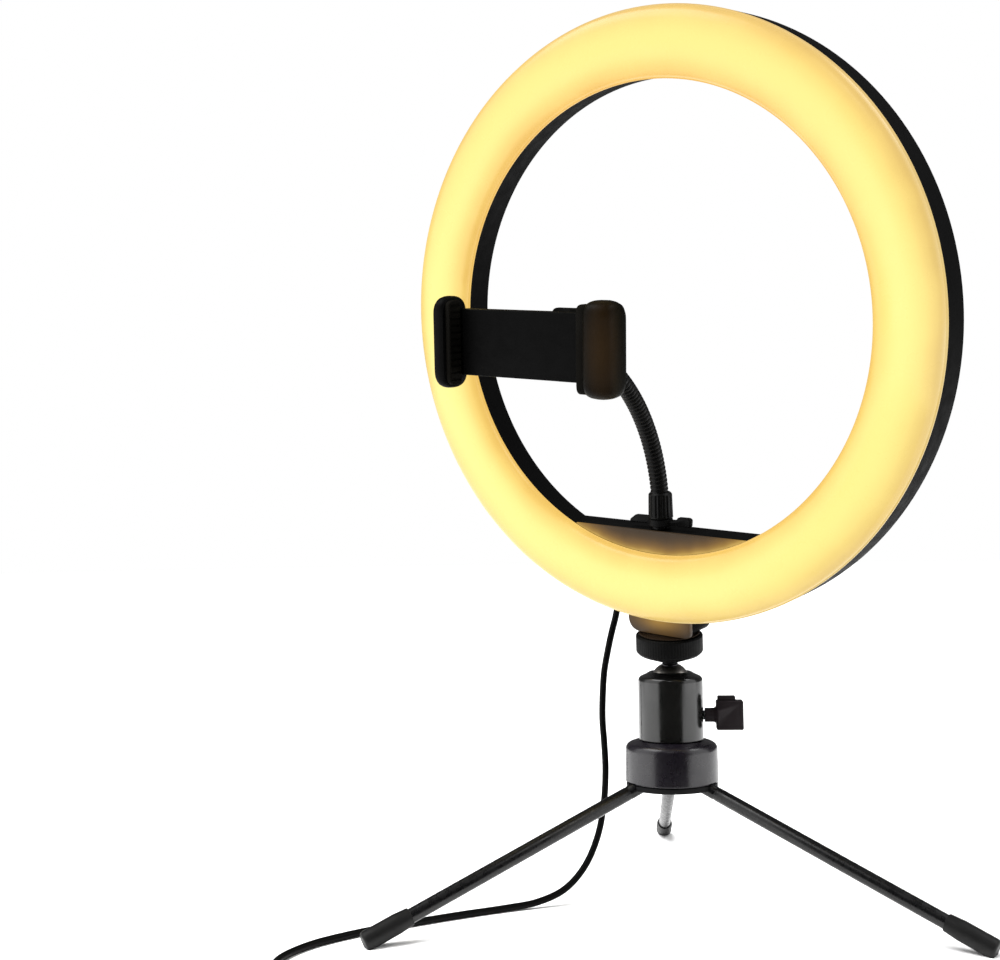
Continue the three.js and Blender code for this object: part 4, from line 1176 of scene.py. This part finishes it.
def coiled_cord():
    """From the controller: two flat layers of turns, wound in and back out, then the plug."""
    mean, layers = 16.5, (1.6, 4.7)
    outer, inner = mean + 7.5, mean - 7.5
    start = Vector((36.8, 0, 2.6))
    middle = Vector((50.8, -outer, 0))
    line = [start + Vector((d, 0, -min(1.0, d / 6))) for d in (0, 3, 6, 9, 11)]
    turns = (outer - inner) / (2 * CORD + 0.05)
    per_turn = 40
    count = round(turns * per_turn)
    for k in range(count + 1):
        a = math.pi / 2 - 2 * math.pi * k / per_turn
        r = outer - (outer - inner) * k / count
        line.append(middle + Vector((r * math.cos(a), r * math.sin(a), layers[0])))
    at = math.pi / 2 - 2 * math.pi * count / per_turn
    climb = round(per_turn * 0.5)
    for k in range(1, climb + 1):
        t = k / climb
        ease = t * t * (3 - 2 * t)
        a = at - 2 * math.pi * k / per_turn
        r = inner - 0.9 * math.sin(math.pi * t)
        line.append(middle + Vector((r * math.cos(a), r * math.sin(a),
                                     layers[0] + (layers[1] - layers[0]) * ease)))
    at -= 2 * math.pi * climb / per_turn
    left = (at - math.pi / 2) % (2 * math.pi)
    whole = math.floor(turns) * 2 * math.pi + left
    count = round(whole / (2 * math.pi) * per_turn)
    for k in range(1, count + 1):
        a = at - whole * k / count
        r = inner + (outer - inner) * k / count
        line.append(middle + Vector((r * math.cos(a), r * math.sin(a), layers[1])))
    end = Vector((64.3, 0, 3.8))
    last = line[-1]
    for k in range(1, 7):
        t = k / 6
        ease = t * t * (3 - 2 * t)
        line.append(Vector((last.x + (end.x - last.x) * t, last.y + (end.y - last.y) * ease,
                            last.z + (end.z - last.z) * ease)))
    points = [CONTROL @ (p * MM) for p in line]
    tube = sweep("cord_bundle", [p / MM for p in points], CORD, IDENTITY, 12)
    dress(tube, CORD_RUBBER, 60)
    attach(tube, "root")
    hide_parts("cord_coil")


hanging_cord()
coiled_cord()


# ------------------------------------------------------------------ carried-over CAD nodes
for node, surface in (("led_board", BOARD), ("driver_board", BOARD), ("controller_board", BOARD),
                      ("threaded_insert", BRASS)):
    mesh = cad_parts[node]
    for place in mesh.material_slots:
        place.material = surface


# ------------------------------------------------------------------ studio
FLAG_RADIUS, FLAG_HEIGHTS = 162, (1, 190)
FLAG_BEARING, FLAG_STEP, FLAG_STEPS = -57, 4, 10
BOX_DISTANCE, BOX_HEIGHT = 0.95, 0.42
STRIP_DISTANCE, STRIP_HEIGHT = 0.62, 1.05
LEFT_BEARING, RIGHT_BEARING = -131, 20


def studio():
    """A pale floor, white air, a flag that only reflections see, a sun, side boxes and a key light."""
    floor = lathe("studio_floor", [(6000, 0), (900, 0), (300, 0), (0, 0)], IDENTITY, 96)
    pale = finish("floor_paper", srgb(247, 247, 247), 0.9, mottle=0.01, patch=8, depth=0.0, specular=0.1)
    for polygon in floor.data.polygons:
        polygon.use_smooth = True
    floor.data.materials.append(pale)

    bearings = [(FLAG_BEARING + FLAG_STEP * k) * DEG for k in range(-FLAG_STEPS, FLAG_STEPS + 1)]
    corners = [(FLAG_RADIUS * math.cos(a), FLAG_RADIUS * math.sin(a), z) for z in FLAG_HEIGHTS
               for a in bearings]
    count = len(bearings)
    panels = [(k, k + 1, count + k + 1, count + k) for k in range(count - 1)]
    flag = mesh_object("black_flag", corners, panels, TRIPOD)
    flag.data.materials.append(finish("flag_cloth", srgb(4, 4, 4), 0.95, depth=0.0, specular=0.0))
    flag.visible_camera = flag.visible_diffuse = flag.visible_shadow = flag.visible_transmission = False

    world = bpy.data.worlds.new("studio_air")
    bpy.context.scene.world = world
    world.use_nodes = True
    tree = world.node_tree
    tree.nodes.clear()
    seen = add_node(tree, "ShaderNodeBackground")
    seen.inputs["Strength"].default_value = 1.0
    seen.inputs["Color"].default_value = (1, 1, 1, 1)
    lit = add_node(tree, "ShaderNodeBackground")
    lit.inputs["Strength"].default_value = 0.12
    lit.inputs["Color"].default_value = (1, 1, 1, 1)
    path = add_node(tree, "ShaderNodeLightPath")
    mix = add_node(tree, "ShaderNodeMixShader")
    out = add_node(tree, "ShaderNodeOutputWorld")
    tree.links.new(path.outputs["Is Camera Ray"], mix.inputs[0])
    tree.links.new(lit.outputs[0], mix.inputs[1])
    tree.links.new(seen.outputs[0], mix.inputs[2])
    tree.links.new(mix.outputs[0], out.inputs[0])

    def light(name, kind, place, towards, strength, **settings):
        data = bpy.data.lights.new(name, kind)
        data.energy = strength
        for key, value in settings.items():
            setattr(data, key, value)
        lamp = bpy.data.objects.new(name, data)
        bpy.context.scene.collection.objects.link(lamp)
        lamp.location = place
        lamp.rotation_euler = (Vector(towards) - Vector(place)).to_track_quat("-Z", "Y").to_euler()
        lamp.visible_camera = False
        return lamp

    light("top_light", "SUN", (-0.4, -0.5, 2), (0, 0, 0), 5.2, angle=50 * DEG).visible_glossy = False
    for name, bearing, watts, width in (("left_box", LEFT_BEARING, 7.0, 1.2),
                                        ("right_box", RIGHT_BEARING, 5.5, 1.0)):
        place = (BOX_DISTANCE * math.cos(bearing * DEG), BOX_DISTANCE * math.sin(bearing * DEG), BOX_HEIGHT)
        light(name, "AREA", place, (-0.017, 0.007, 0.12), watts, shape="RECTANGLE", size=width, size_y=1.1)
    for name, bearing, watts in (("left_strip", LEFT_BEARING, 5.5), ("right_strip", RIGHT_BEARING, 4.5)):
        place = (STRIP_DISTANCE * math.cos(bearing * DEG), STRIP_DISTANCE * math.sin(bearing * DEG),
                 STRIP_HEIGHT)
        light(name, "AREA", place, (-0.017, 0.007, 0.1), watts, shape="RECTANGLE", size=0.8, size_y=0.4)
    light("key_light", "AREA", (0.36, -0.62, 0.78), (-0.017, 0.007, 0.1), 0.3, shape="DISK", size=0.12)


studio()
bpy.context.scene.view_settings.view_transform = "Standard"

bpy.context.view_layer.update()
